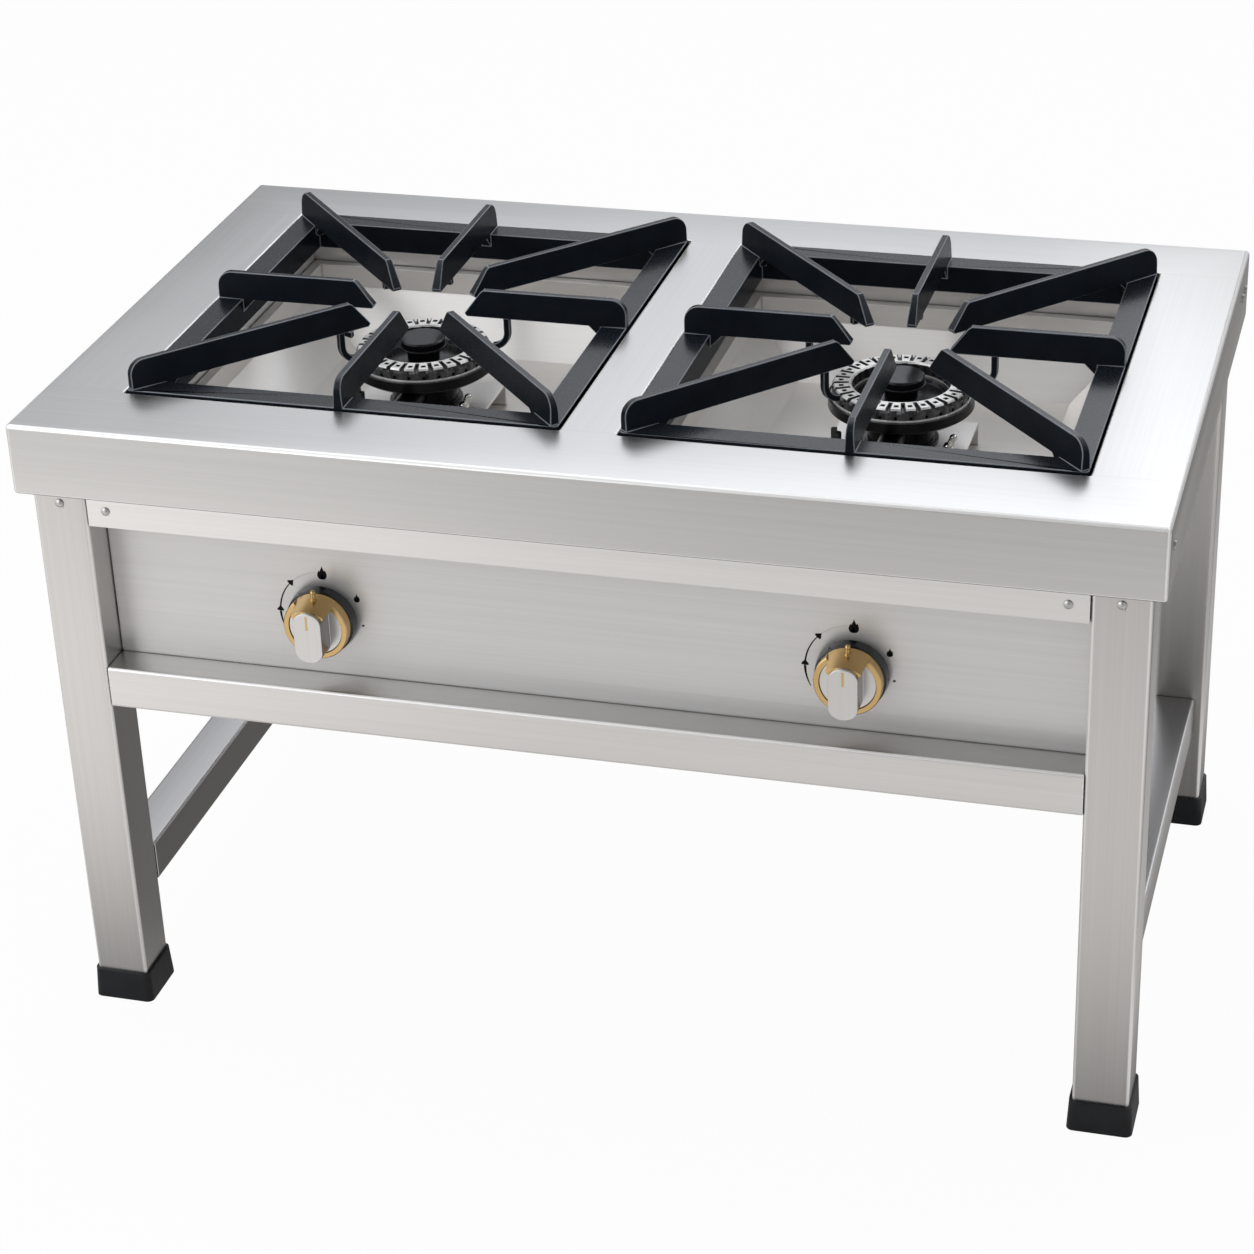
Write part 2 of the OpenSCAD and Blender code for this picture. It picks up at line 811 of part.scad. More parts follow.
// Tap: flange on the panel's back, round body with the plug's bore, boss down to the gas rail
module gas_tap(s) {
    color("goldenrod")
        translate([s * knob_x, 0, tap_z])
            difference() {
                union() {
                    along_y(tap_face_y, tap_flange_t, tap_r + 4);
                    along_y(tap_face_y, 14, tap_r - 3);
                    along_y(tap_face_y + 14, tap_end_y - tap_face_y - 14, tap_r);
                    translate([0, gas_rail_y, gas_rail_z - tap_z + rail_pipe_r])
                        cylinder(h = tap_r + 10, r = 8);
                    translate([0, outlet_y, 0])
                        cylinder(h = tap_r + 8, r = tube_r + 3);
                }
                along_y(plug_y - 1, plug_l + 2, plug_r + run_gap);
                along_y(tap_face_y - eps, plug_y - tap_face_y + eps, spindle_r + 0.6);
            }
}
outlet_y = tap_face_y + 24;

// Plug: the turning core of the tap, bored for the stem
module tap_plug(s) {
    color("goldenrod")
        translate([s * knob_x, 0, tap_z])
            difference() {
                along_y(plug_y, plug_l, plug_r);
                along_y(plug_y - eps, stem_in + push + 2 + eps, spindle_r + run_gap);
            }
}

// Stem: slides in the plug and carries the knob
module tap_stem(s) {
    color("silver")
        translate([s * knob_x, 0, tap_z])
            along_y(stem_front_y, plug_y + stem_in - stem_front_y, spindle_r);
}

// Knob skirt: black flared disc
module knob_skirt(s) {
    color("black")
        translate([s * knob_x, skirt_y, tap_z])
            rotate([90, 0, 0])
                rotate_extrude()
                    polygon([
                        [spindle_r, 0], [skirt_r - 1, 0], [skirt_r, 1.5],
                        [skirt_r - 1, skirt_l - 1], [skirt_r - 2, skirt_l], [spindle_r, skirt_l]
                    ]);
}

// The sector of the wedge, from the knob's axis upwards, all along the knob
module wedge_sector(l) {
    far = ring_r + 2;
    linear_extrude(l)
        polygon([[0, 0], [far * tan(wedge_a), far], [-far * tan(wedge_a), far]]);
}

// Side view of the wedge's slope, from the collar's back edge to the grip's front edge
module wedge_slope(inner, outer_extra) {
    front = ring_l + grip_out - 1;
    polygon([
        [inner, 0.8], [ring_r + outer_extra, 0.8], [grip_l / 2 + 0.3 + outer_extra, front], [inner, front]
    ]);
}

// Outline of the grip bar: a bar with round ends
module grip_outline(w, l) {
    square([w, l - w], center = true);
    for (sz = [-1, 1])
        translate([0, sz * (l - w) / 2])
            circle(r = w / 2);
}

// Knob ring: brass collar with a recess for the disc, a wedge that slopes up to the grip, and an index pin
disc_t = 2;
disc_gap = 0.15;
collar_edge = 0.8;
pin_r = 2;
pin_ball_r = 2.4;
pin_top = 37;
module knob_ring(s) {
    disc_front = ring_l - disc_set + disc_t;
    color("goldenrod")
        translate([s * knob_x, ring_y, tap_z]) {
            rotate([90, 0, 0])
                difference() {
                    union() {
                        rotate_extrude()
                            polygon([
                                [spindle_r, 0], [ring_r - 0.5, 0], [ring_r, 0.5],
                                [ring_r, ring_l - collar_edge], [ring_r - collar_edge, ring_l],
                                [face_r + disc_gap, ring_l], [face_r + disc_gap, ring_l - disc_set],
                                [spindle_r, ring_l - disc_set]
                            ]);
                        intersection() {
                            rotate_extrude()
                                wedge_slope(grip_w / 2 + 1, 0);
                            wedge_sector(ring_l + grip_out);
                        }
                    }
                    // The slope also cuts the collar's front edge
                    intersection() {
                        rotate_extrude()
                            difference() {
                                translate([ring_r - 8, 0.8])
                                    square([10, ring_l + grip_out]);
                                wedge_slope(0, 0);
                            }
                        wedge_sector(ring_l + grip_out);
                    }
                    // Room for the disc and the grip bar
                    translate([0, 0, ring_l - disc_set])
                        cylinder(h = disc_t + disc_gap, r = face_r + disc_gap);
                    translate([0, 0, disc_front])
                        linear_extrude(grip_out + ring_l)
                            grip_outline(grip_w + 2 * disc_gap, grip_l + 2 * disc_gap);
                }
            translate([0, 2 - ring_l, ring_r - 5]) {
                cylinder(h = 4.5, r = pin_r + 1);
                cylinder(h = pin_top - pin_ball_r - ring_r + 5, r = pin_r);
                translate([0, 0, pin_top - pin_ball_r - ring_r + 5])
                    sphere(r = pin_ball_r);
            }
        }
}

// Knob grip: steel disc set into the collar, and a bar with round ends
module knob_grip(s) {
    color("silver")
        translate([s * knob_x, stem_front_y, tap_z])
            rotate([90, 0, 0])
                union() {
                    cylinder(h = disc_t, r = face_r);
                    linear_extrude(disc_set + disc_t + grip_out)
                        grip_outline(grip_w, grip_l);
                }
}

// Gas rail: a capped pipe under both taps, out through the left side
module gas_rail() {
    start = -in_x - 6;
    color("silver")
        translate([start, gas_rail_y, gas_rail_z])
            rotate([0, 90, 0])
                difference() {
                    cylinder(h = gas_rail_end - start, r = rail_pipe_r);
                    translate([0, 0, -eps])
                        cylinder(h = gas_rail_end - start - 4, r = rail_pipe_r - 2.5);
                }
}

// Inlet: a hexagon and a plain male thread blank, inside the legs' depth
module gas_inlet() {
    hex_t = 10;
    color("goldenrod")
        translate([-in_x - 6, gas_rail_y, gas_rail_z])
            rotate([0, -90, 0])
                difference() {
                    union() {
                        cylinder(h = hex_t, r = rail_pipe_r + 3, $fn = 6);
                        translate([0, 0, hex_t])
                            cylinder(h = inlet_l, r = inlet_r);
                    }
                    translate([0, 0, -eps])
                        cylinder(h = hex_t + inlet_l + 2 * eps, r = inlet_r - 3.5);
                }
}

// Supply tube: bent from the tap's outlet to the injector
inj_y = mouth_y - 9;
module supply_tube(s) {
    a = [s * knob_x, outlet_y, tap_z + tap_r + 8];
    b = [s * knob_x, outlet_y, tap_z + tap_r + 30];
    c = [s * grate_x, inj_y, mix_z - 2 * inj_drop];
    d = [s * grate_x, inj_y, mix_z - inj_drop];
    color("peru") {
        rod(a, b, tube_r);
        rod(b, c, tube_r);
        translate(c)
            cylinder(h = d[2] - c[2], r = tube_r);
    }
}

// Injector: a brass elbow whose flange closes the mixing tube's mouth but for four air holes
air_r = 3.2;
nozzle_r = 9;
nozzle_l = 8;
inj_flange_t = 2;
inj_drop = 13;
module injector(s) {
    flange_y = mouth_y - inj_flange_t;
    color("goldenrod")
        translate([s * grate_x, 0, mix_z])
            difference() {
                union() {
                    along_y(inj_y - nozzle_l, flange_y - inj_y + nozzle_l, nozzle_r);
                    along_y(flange_y, inj_flange_t, mouth_r - 1);
                    translate([0, inj_y, -inj_drop])
                        cylinder(h = inj_drop, r = tube_r + 2.5);
                }
                for (a = [45 : 90 : 315])
                    rotate([0, a, 0])
                        translate([nozzle_r + air_r + 0.8, 0, 0])
                            along_y(flange_y - eps, inj_flange_t + 2 * eps, air_r);
            }
}

// Flame probe: a nickel tube in a foot, bent over towards the cup's underside
probe_x = 50;
probe_y = -38;
module flame_probe(s) {
    color("silver")
        translate([s * grate_x + probe_x, grate_y + probe_y, bridge_top]) {
            cylinder(h = 4, r = 8);
            rod([0, 0, 0], [0, 0, 14], 4);
            rod([0, 0, 14], [4, 2, 22], 3);
        }
}

// Igniter: a black holder with a pale electrode
igniter_x = -48;
igniter_y = -40;
module igniter(s) {
    color("black")
        translate([s * grate_x + igniter_x, grate_y + igniter_y, bridge_top]) {
            translate([-7, -5, 0])
                cube([14, 10, 4]);
            translate([-7, -2, 0])
                cube([5, 4, 24]);
            translate([-1, 0, 4])
                cylinder(h = 16, r = 3);
        }
}

// Bolts of the legs and fascias
module frame_bolts() {
    color("silver") {
        for (sx = [-1, 1], sy = [-1, 1])
            bolts(leg_bolts(sx, sy));
        for (sy = [-1, 1])
            bolts(fascia_bolts(sy));
    }
}

worktop();
leg(-1, -1);  // leg_front_left
leg(1, -1);  // leg_front_right
leg(-1, 1);  // leg_rear_left
leg(1, 1);  // leg_rear_right
foot(-1, -1);  // foot_front_left
foot(1, -1);  // foot_front_right
foot(-1, 1);  // foot_rear_left
foot(1, 1);  // foot_rear_right
fascia(-1);  // front_fascia
fascia(1);  // rear_fascia
control_panel();
rear_panel();
cross_rail(-1);  // lower_front_rail
cross_rail(1);  // lower_rear_rail
side_rail(-1);  // side_rail_left
side_rail(1);  // side_rail_right
side_panel(-1);  // side_panel_left
side_panel(1);  // side_panel_right
well(-1);  // well_left
well(1);  // well_right
drip_pan(-1);  // drip_pan_left
drip_pan(1);  // drip_pan_right
burner_bridge(-1);  // burner_bridge_left
burner_bridge(1);  // burner_bridge_right
burner_body(-1);  // burner_body_left
burner_body(1);  // burner_body_right
burner_crown(-1);  // burner_crown_left
burner_crown(1);  // burner_crown_right
burner_cap(-1);  // burner_cap_left
burner_cap(1);  // burner_cap_right
grate(-1);  // grate_left
grate(1);  // grate_right
gas_tap(-1);  // gas_tap_left
gas_tap(1);  // gas_tap_right
tap_plug(-1);  // tap_plug_left
tap_plug(1);  // tap_plug_right
tap_stem(-1);  // tap_stem_left
tap_stem(1);  // tap_stem_right
knob_skirt(-1);  // knob_skirt_left
knob_skirt(1);  // knob_skirt_right
knob_ring(-1);  // knob_ring_left
knob_ring(1);  // knob_ring_right
knob_grip(-1);  // knob_grip_left
knob_grip(1);  // knob_grip_right
gas_rail();
gas_inlet();
supply_tube(-1);  // supply_tube_left
supply_tube(1);  // supply_tube_right
injector(-1);  // injector_left
injector(1);  // injector_right
flame_probe(-1);  // flame_probe_left
flame_probe(1);  // flame_probe_right
igniter(-1);  // igniter_left
igniter(1);  // igniter_right
frame_bolts();
apron_screws();
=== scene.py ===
"""Looks of a low two-burner gas stove: stainless body, cast grates, ring burners and gas knobs."""
import logging
import math
from dataclasses import dataclass, field
from enum import Enum

import bmesh
import bpy
from mathutils import Matrix, Vector
from mathutils.geometry import interpolate_bezier


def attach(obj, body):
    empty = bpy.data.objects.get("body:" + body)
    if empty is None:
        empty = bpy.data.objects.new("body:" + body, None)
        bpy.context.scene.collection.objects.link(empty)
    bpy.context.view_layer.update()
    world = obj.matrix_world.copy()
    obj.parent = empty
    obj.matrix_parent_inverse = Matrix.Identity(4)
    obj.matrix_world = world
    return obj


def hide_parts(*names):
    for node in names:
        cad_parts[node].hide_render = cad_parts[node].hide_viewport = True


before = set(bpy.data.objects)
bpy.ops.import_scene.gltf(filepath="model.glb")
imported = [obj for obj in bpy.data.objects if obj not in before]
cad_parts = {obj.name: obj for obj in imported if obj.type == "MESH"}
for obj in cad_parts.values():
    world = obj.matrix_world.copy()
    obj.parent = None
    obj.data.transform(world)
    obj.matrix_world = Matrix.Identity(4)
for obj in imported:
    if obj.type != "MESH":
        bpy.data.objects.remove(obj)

log = logging.getLogger("stove")
MM = 0.001
SIDES = ("left", "right")
WHITE = (1.0, 1.0, 1.0, 1.0)

Colour = tuple[float, float, float]
Point = tuple[float, float, float]
Outline = list[tuple[float, float]]
Span = tuple[float, float]
Ramp = tuple[float, float, float, float]
Socket = bpy.types.NodeSocket


class Brush(Enum):
    """Direction in which a stainless sheet or tube is brushed, with the grain's stretch per axis."""

    ALONG_X = (4.0, 900.0, 900.0)
    ALONG_Y = (900.0, 4.0, 900.0)
    ALONG_Z = (900.0, 900.0, 4.0)


def side_sign(side: str) -> float:
    """Returns -1 for the left side and 1 for the right one."""
    return -1.0 if side == "left" else 1.0


# ---------------------------------------------------------------- node trees


class Graph:
    """Short calls for building one node tree."""

    def __init__(self, tree: bpy.types.NodeTree) -> None:
        """Keeps the tree.

        Args:
            tree: The node tree of a material, a world or a group.
        """
        self.tree = tree

    def add(self, kind: str, sockets: dict | None = None, **props: object) -> bpy.types.Node:
        """Adds a node, sets its properties and fills or links its inputs.

        Args:
            kind: The node's type name.
            sockets: Input name or index to a value or an output socket.
            props: Properties of the node.

        Returns:
            The new node.
        """
        node = self.tree.nodes.new(kind)
        for key, value in props.items():
            setattr(node, key, value)
        for key, value in (sockets or {}).items():
            self.feed(node.inputs[key], value)
        return node

    def feed(self, socket: Socket, value: object) -> None:
        """Links an output into an input, or sets the input's own value.

        Args:
            socket: The input.
            value: An output socket or a value.
        """
        if isinstance(value, bpy.types.NodeSocket):
            self.tree.links.new(value, socket)
        else:
            socket.default_value = value

    def fill(self, node: bpy.types.Node, **sources: Socket) -> None:
        """Links outputs into the named inputs of a node.

        Args:
            node: The node, such as a shader.
            sources: Input name, with _ for each space, to the output that feeds it.
        """
        for name, source in sources.items():
            self.tree.links.new(source, node.inputs[name.replace("_", " ")])

    def math(self, operation: str, a: object, b: object = 0.0, c: object = 0.0) -> Socket:
        """Adds a Math node.

        Args:
            operation: The operation's name.
            a: First value or socket.
            b: Second value or socket.
            c: Third value or socket.

        Returns:
            The node's output.
        """
        return self.add("ShaderNodeMath", {0: a, 1: b, 2: c}, operation=operation).outputs[0]

    def remap(self, value: Socket, low: float, high: float, to_low: float = 0.0,
              to_high: float = 1.0, smooth: bool = False) -> Socket:
        """Adds a Map Range node that clamps its result.

        Args:
            value: The socket to remap.
            low: Value that becomes to_low.
            high: Value that becomes to_high.
            to_low: Lowest result.
            to_high: Highest result.
            smooth: True for a smooth step.

        Returns:
            The node's output.
        """
        kind = "SMOOTHSTEP" if smooth else "LINEAR"
        sockets = {0: value, 1: low, 2: high, 3: to_low, 4: to_high}
        return self.add("ShaderNodeMapRange", sockets, interpolation_type=kind).outputs[0]

    def mix(self, factor: object, a: object, b: object) -> Socket:
        """Adds a colour Mix node.

        Args:
            factor: Share of the second colour.
            a: First colour or socket.
            b: Second colour or socket.

        Returns:
            The mixed colour.
        """
        node = self.add("ShaderNodeMix", data_type="RGBA")
        for name, value in (("Factor", factor), ("A", a), ("B", b)):
            socket = next(s for s in node.inputs if s.name == name and s.enabled
                          and (s.type == "RGBA" or name == "Factor"))
            self.feed(socket, value)
        return next(s for s in node.outputs if s.type == "RGBA")

    def facing(self) -> bpy.types.bpy_prop_collection:
        """Splits the direction in which the surface faces, and returns its x, y and z."""
        normal = self.add("ShaderNodeNewGeometry").outputs["Normal"]
        return self.add("ShaderNodeSeparateXYZ", {0: normal}).outputs

    def place(self) -> bpy.types.bpy_prop_collection:
        """Splits the place in metres, and returns its x, y and z."""
        spot = self.add("ShaderNodeTexCoord").outputs["Object"]
        return self.add("ShaderNodeSeparateXYZ", {0: spot}).outputs


def new_group(name: str, inputs: dict[str, tuple[str, object]], outputs: dict[str, str]) -> tuple[
        bpy.types.NodeTree, Graph, bpy.types.Node, bpy.types.Node]:
    """Makes an empty shader node group with named sockets.

    Args:
        name: The group's name.
        inputs: Input name to its socket type and default.
        outputs: Output name to its socket type.

    Returns:
        The group's tree, its graph, its input node and its output node.
    """
    tree = bpy.data.node_groups.new(name, "ShaderNodeTree")
    for label, (kind, default) in inputs.items():
        socket = tree.interface.new_socket(label, in_out="INPUT", socket_type=kind)
        socket.default_value = default
    for label, kind in outputs.items():
        tree.interface.new_socket(label, in_out="OUTPUT", socket_type=kind)
    graph = Graph(tree)
    return tree, graph, graph.add("NodeGroupInput"), graph.add("NodeGroupOutput")


class Effects:
    """Node groups that several finishes share, each built once."""

    COARSE: float = 0.3
    FINE_SHARE: float = 0.45
    BROAD_SHARE: float = 0.55
    # The span of the edge mask that carries the painted edge highlight.
    EDGE_HIGHLIGHT_SPAN: Span = (0.995, 0.80)
    PATCH: Span = (0.3, 0.7)

    def __init__(self) -> None:
        """Builds the groups."""
        self.grain = self._grain()
        self.edge = self._edge()
        self.cloud = self._cloud()

    def _grain(self) -> bpy.types.NodeTree:
        """Builds the brushed grain: fine and broad streaks along one axis.

        Returns:
            The group's tree.
        """
        tree, g, inp, out = new_group(
            "brushed_grain",
            {"Stretch": ("NodeSocketVector", Brush.ALONG_X.value),
             "Coarse": ("NodeSocketFloat", self.COARSE)},
            {"Streak": "NodeSocketFloat", "Height": "NodeSocketFloat"})
        place = g.add("ShaderNodeTexCoord").outputs["Object"]
        fine = g.add("ShaderNodeVectorMath", {0: place, 1: inp.outputs["Stretch"]},
                     operation="MULTIPLY").outputs[0]
        broad = g.add("ShaderNodeVectorMath", {0: fine, "Scale": inp.outputs["Coarse"]},
                      operation="SCALE").outputs[0]
        fine_noise = g.add("ShaderNodeTexNoise", {"Vector": fine, "Scale": 1.0, "Detail": 3.0,
                                                  "Roughness": 0.65}).outputs[0]
        broad_noise = g.add("ShaderNodeTexNoise", {"Vector": broad, "Scale": 1.0,
                                                   "Detail": 2.0}).outputs[0]
        streak = g.math("MULTIPLY_ADD", fine_noise, self.FINE_SHARE,
                        g.math("MULTIPLY", broad_noise, self.BROAD_SHARE))
        g.fill(out, Streak=streak, Height=fine_noise)
        return tree

    def _edge(self) -> bpy.types.NodeTree:
        """Builds the edge band: a rounded normal and a mask along the edges, for the painted edge highlight.

        Returns:
            The group's tree.
        """
        tree, g, inp, out = new_group(
            "edge_band", {"Radius": ("NodeSocketFloat", 0.001)},
            {"Mask": "NodeSocketFloat", "Normal": "NodeSocketVector"})
        bevel = g.add("ShaderNodeBevel", {"Radius": inp.outputs["Radius"]}, samples=4).outputs[0]
        flat = g.add("ShaderNodeNewGeometry").outputs["Normal"]
        dot = g.add("ShaderNodeVectorMath", {0: bevel, 1: flat}, operation="DOT_PRODUCT")
        g.fill(out, Mask=g.remap(dot.outputs["Value"], *self.EDGE_HIGHLIGHT_SPAN, smooth=True), Normal=bevel)
        return tree

    def _cloud(self) -> bpy.types.NodeTree:
        """Builds soft cloudy patches, for uneven polish, casting skin and tarnish.

        Returns:
            The group's tree.
        """
        tree, g, inp, out = new_group(
            "cloud", {"Scale": ("NodeSocketFloat", 10.0), "Detail": ("NodeSocketFloat", 3.0)},
            {"Patch": "NodeSocketFloat"})
        place = g.add("ShaderNodeTexCoord").outputs["Object"]
        noise = g.add("ShaderNodeTexNoise", {"Vector": place, "Scale": inp.outputs["Scale"],
                                             "Detail": inp.outputs["Detail"], "Roughness": 0.55})
        g.fill(out, Patch=g.remap(noise.outputs[0], *self.PATCH))
        return tree


def shade(colour: Colour, factor: float = 1.0) -> tuple[float, float, float, float]:
    """Scales a colour and adds full alpha.

    Args:
        colour: Red, green and blue.
        factor: Multiplier.

    Returns:
        The RGBA colour.
    """
    return (colour[0] * factor, colour[1] * factor, colour[2] * factor, 1.0)


# ---------------------------------------------------------------- finishes


@dataclass(frozen=True)
class Finish:
    """A finish that can dress a piece.

    The first four values are its name, colour, roughness and edge radius in metres. Along the edges a painted
    highlight mixes the colour towards its edge highlight gain times itself, at its edge highlight share.
    Relief is depth metres high, at strength relief, and the roughness varies by mottle from patch to patch.
    """

    name: str
    colour: Colour
    roughness: float
    edge: float = 0.0008
    edge_highlight_gain: float = 1.4
    edge_highlight_share: float = 0.6
    relief: float = 0.05
    depth: float = 0.0002
    mottle: float = 0.10

    def material(self, effects: Effects) -> bpy.types.Material:
        """Builds the material.

        Args:
            effects: The shared groups.

        Returns:
            The material.
        """
        coat = Coat(self, effects)
        self.wire(coat)
        return coat.material


class Coat(Graph):
    """The graph of one finish's material, with the shader and the shared effects at hand."""

    def __init__(self, finish: Finish, effects: Effects) -> None:
        """Starts the material with a Principled BSDF and the edge group.

        Args:
            finish: The finish.
            effects: The shared groups.
        """
        self.material = bpy.data.materials.new(finish.name)
        self.material.use_nodes = True
        super().__init__(self.material.node_tree)
        self.shader = next(n for n in self.tree.nodes if n.type == "BSDF_PRINCIPLED")
        self.finish = finish
        self.effects = effects
        self.band = self.group(effects.edge, Radius=finish.edge)

    def group(self, tree: bpy.types.NodeTree, **values: object) -> bpy.types.bpy_prop_collection:
        """Places a shared group.

        Args:
            tree: The group's tree.
            values: Its inputs' values.

        Returns:
            The group's outputs.
        """
        return self.add("ShaderNodeGroup", values, node_tree=tree).outputs

    def cloud(self, scale: float, detail: float = 3.0) -> Socket:
        """Places the cloud group.

        Args:
            scale: Patches per metre.
            detail: Octaves of the noise.

        Returns:
            The patch mask.
        """
        return self.group(self.effects.cloud, Scale=scale, Detail=detail)[0]

    def streaks(self, brush: Brush) -> tuple[Socket, Socket]:
        """Places the grain, and returns its streak mask and its height."""
        streak, height = self.group(self.effects.grain, Stretch=brush.value)
        return streak, height

    def tone(self, factor: float = 1.0) -> tuple[float, float, float, float]:
        """Returns the finish's colour times a factor."""
        return shade(self.finish.colour, factor)

    def edge_highlight(self, colour: Socket) -> Socket:
        """Lightens a colour along the edges as a painted highlight.

        Args:
            colour: The colour away from edges.

        Returns:
            The colour with its painted edge highlight.
        """
        share = self.math("MULTIPLY", self.band["Mask"], self.finish.edge_highlight_share)
        return self.mix(share, colour, self.tone(self.finish.edge_highlight_gain))

    def varied(self, mask: Socket) -> Socket:
        """Varies the roughness by a mask, round its middle value.

        Args:
            mask: Patches from 0 to 1.

        Returns:
            The roughness.
        """
        spread = self.finish.mottle
        return self.math("MULTIPLY_ADD", mask, spread, self.finish.roughness - spread / 2)

    def bumped(self, height: Socket) -> Socket:
        """Lays relief over the rounded edges.

        Args:
            height: Height from 0 to 1.

        Returns:
            The normal.
        """
        return self.add("ShaderNodeBump", {"Strength": self.finish.relief, "Distance": self.finish.depth,
                                           "Height": height, "Normal": self.band["Normal"]}).outputs[0]

    def surface(self, **sources: Socket) -> None:
        """Feeds the shader.

        Args:
            sources: Shader input, with _ for each space, to the output that feeds it.
        """
        self.fill(self.shader, **sources)


@dataclass(frozen=True)
class BrushedSteel(Finish):
    """Brushed stainless with its grain along one axis, painted highlights on edges and folds, painted shade in
    crevices.
    """

    depth: float = 0.0004
    brush: Brush = Brush.ALONG_X
    contrast: float = 0.06
    streak_span: Span = (0.3, 0.7)
    streak_rough: float = 0.03
    metal: float = 1.0
    polish_scale: float = 5.0
    polish_rough: float = 0.02
    fold: float = 1.0
    fold_span: Span = (0.18, 0.45)
    fold_highlight_gain: float = 1.58
    fold_highlight_dulling: float = 0.6
    crevice: float = 0.0035
    crevice_shade_gain: float = 0.08
    crevice_shade_ramp: Ramp = (0.35, 0.8, 0.85, 0.0)

    def folds(self, g: Coat) -> Socket:
        """Marks the rounded folds and corners, where the surface faces between two axes, for their painted
        highlight.

        Args:
            g: The material's coat.

        Returns:
            The mask.
        """
        facing = g.facing()
        x, y, z = (g.math("ABSOLUTE", facing[i]) for i in range(3))
        both = g.math("MULTIPLY_ADD", x, y, g.math("MULTIPLY_ADD", y, z, g.math("MULTIPLY", x, z)))
        return g.remap(both, *self.fold_span, 0.0, self.fold, smooth=True)

    def wire(self, g: Coat) -> None:
        """Lays the grain along the sheet.

        Args:
            g: The material's coat.
        """
        self.polish(g, *g.streaks(self.brush))

    def polish(self, g: Coat, streak: Socket, height: Socket) -> None:
        """Wires streaks, patches, painted highlights on edges and folds, and painted shade in crevices into the
        shader.

        Args:
            g: The material's coat.
            streak: The streak mask.
            height: The grain's height.
        """
        patch = g.cloud(self.polish_scale, 2.0)
        tone = g.remap(streak, *self.streak_span)
        colour = g.mix(tone, g.tone(1.0 - self.contrast), g.tone(1.0 + self.contrast * 0.5))
        # Painted highlight: rounded folds are lightened and made less metallic.
        fold = self.folds(g)
        colour = g.mix(fold, g.edge_highlight(colour), g.tone(self.fold_highlight_gain))
        # Painted shade: ambient occlusion darkens crevices and the gaps between parts.
        open_sky = g.add("ShaderNodeAmbientOcclusion", {"Distance": self.crevice},
                         samples=4).outputs["AO"]
        colour = g.mix(g.remap(open_sky, *self.crevice_shade_ramp), colour, g.tone(self.crevice_shade_gain))
        rough = g.math("MULTIPLY_ADD", tone, self.streak_rough, self.roughness - self.streak_rough)
        g.surface(Base_Color=colour, Normal=g.bumped(height),
                  Roughness=g.math("MULTIPLY_ADD", patch, self.polish_rough, rough),
                  Metallic=g.math("MULTIPLY_ADD", fold, -self.fold_highlight_dulling * self.metal, self.metal))


@dataclass(frozen=True)
class GripSteel(BrushedSteel):
    """The knob's grip: brushed steel whose right flank is darker, as in the photograph: painted shade that
    stands for the dark room the flank mirrors.
    """

    flank_shade_gain: float = 0.42
    flank_span: Span = (0.75, 0.95)

    def wire(self, g: Coat) -> None:
        """Lays the grain and darkens the right flank with painted shade.

        Args:
            g: The material's coat.
        """
        super().wire(g)
        # Painted shade: faces that look to the right are darkened.
        flank_shade = g.remap(g.facing()[0], *self.flank_span, smooth=True)
        base = g.shader.inputs["Base Color"].links[0].from_socket
        g.surface(Base_Color=g.mix(flank_shade, base, g.tone(self.flank_shade_gain)))


@dataclass(frozen=True)
class StripTop(BrushedSteel):
    """The worktop: strips at front and rear brushed along X, the rest along Y, with fine weld seams.

    Places of the seams along Y, and half their width, are metres. A face is a side or the top from a
    share of its direction on.
    """

    front_seam: float = -0.214
    rear_seam: float = 0.226
    seam_half: float = 0.0005
    seam_depth: float = 1.2
    seam_tone: float = 0.5
    seam_blur: float = 2.5
    side_from: float = 0.6
    top_from: float = 0.9

    def wire(self, g: Coat) -> None:
        """Lays the grain of each strip and the seams between them.

        Args:
            g: The material's coat.
        """
        facing = g.facing()
        y = g.place()[1]
        outer = g.math("MAXIMUM", g.math("LESS_THAN", y, self.front_seam),
                       g.math("GREATER_THAN", y, self.rear_seam))
        side = g.math("GREATER_THAN", g.math("ABSOLUTE", facing[0]), self.side_from)
        along_x = g.math("MULTIPLY", outer, g.math("SUBTRACT", 1.0, side))
        streak, height = (g.math("MULTIPLY_ADD", g.math("SUBTRACT", b, a), along_x, a)
                          for a, b in zip(g.streaks(Brush.ALONG_Y), g.streaks(Brush.ALONG_X)))
        gap = g.math("MINIMUM", *(g.math("ABSOLUTE", g.math("SUBTRACT", y, seam))
                                  for seam in (self.front_seam, self.rear_seam)))
        seam = g.math("MULTIPLY",
                      g.remap(gap, self.seam_half, self.seam_half * self.seam_blur, 1.0, 0.0),
                      g.math("GREATER_THAN", facing[2], self.top_from))
        self.polish(g, g.math("SUBTRACT", streak, g.math("MULTIPLY", seam, self.seam_tone)),
                    g.math("SUBTRACT", height, g.math("MULTIPLY", seam, self.seam_depth)))


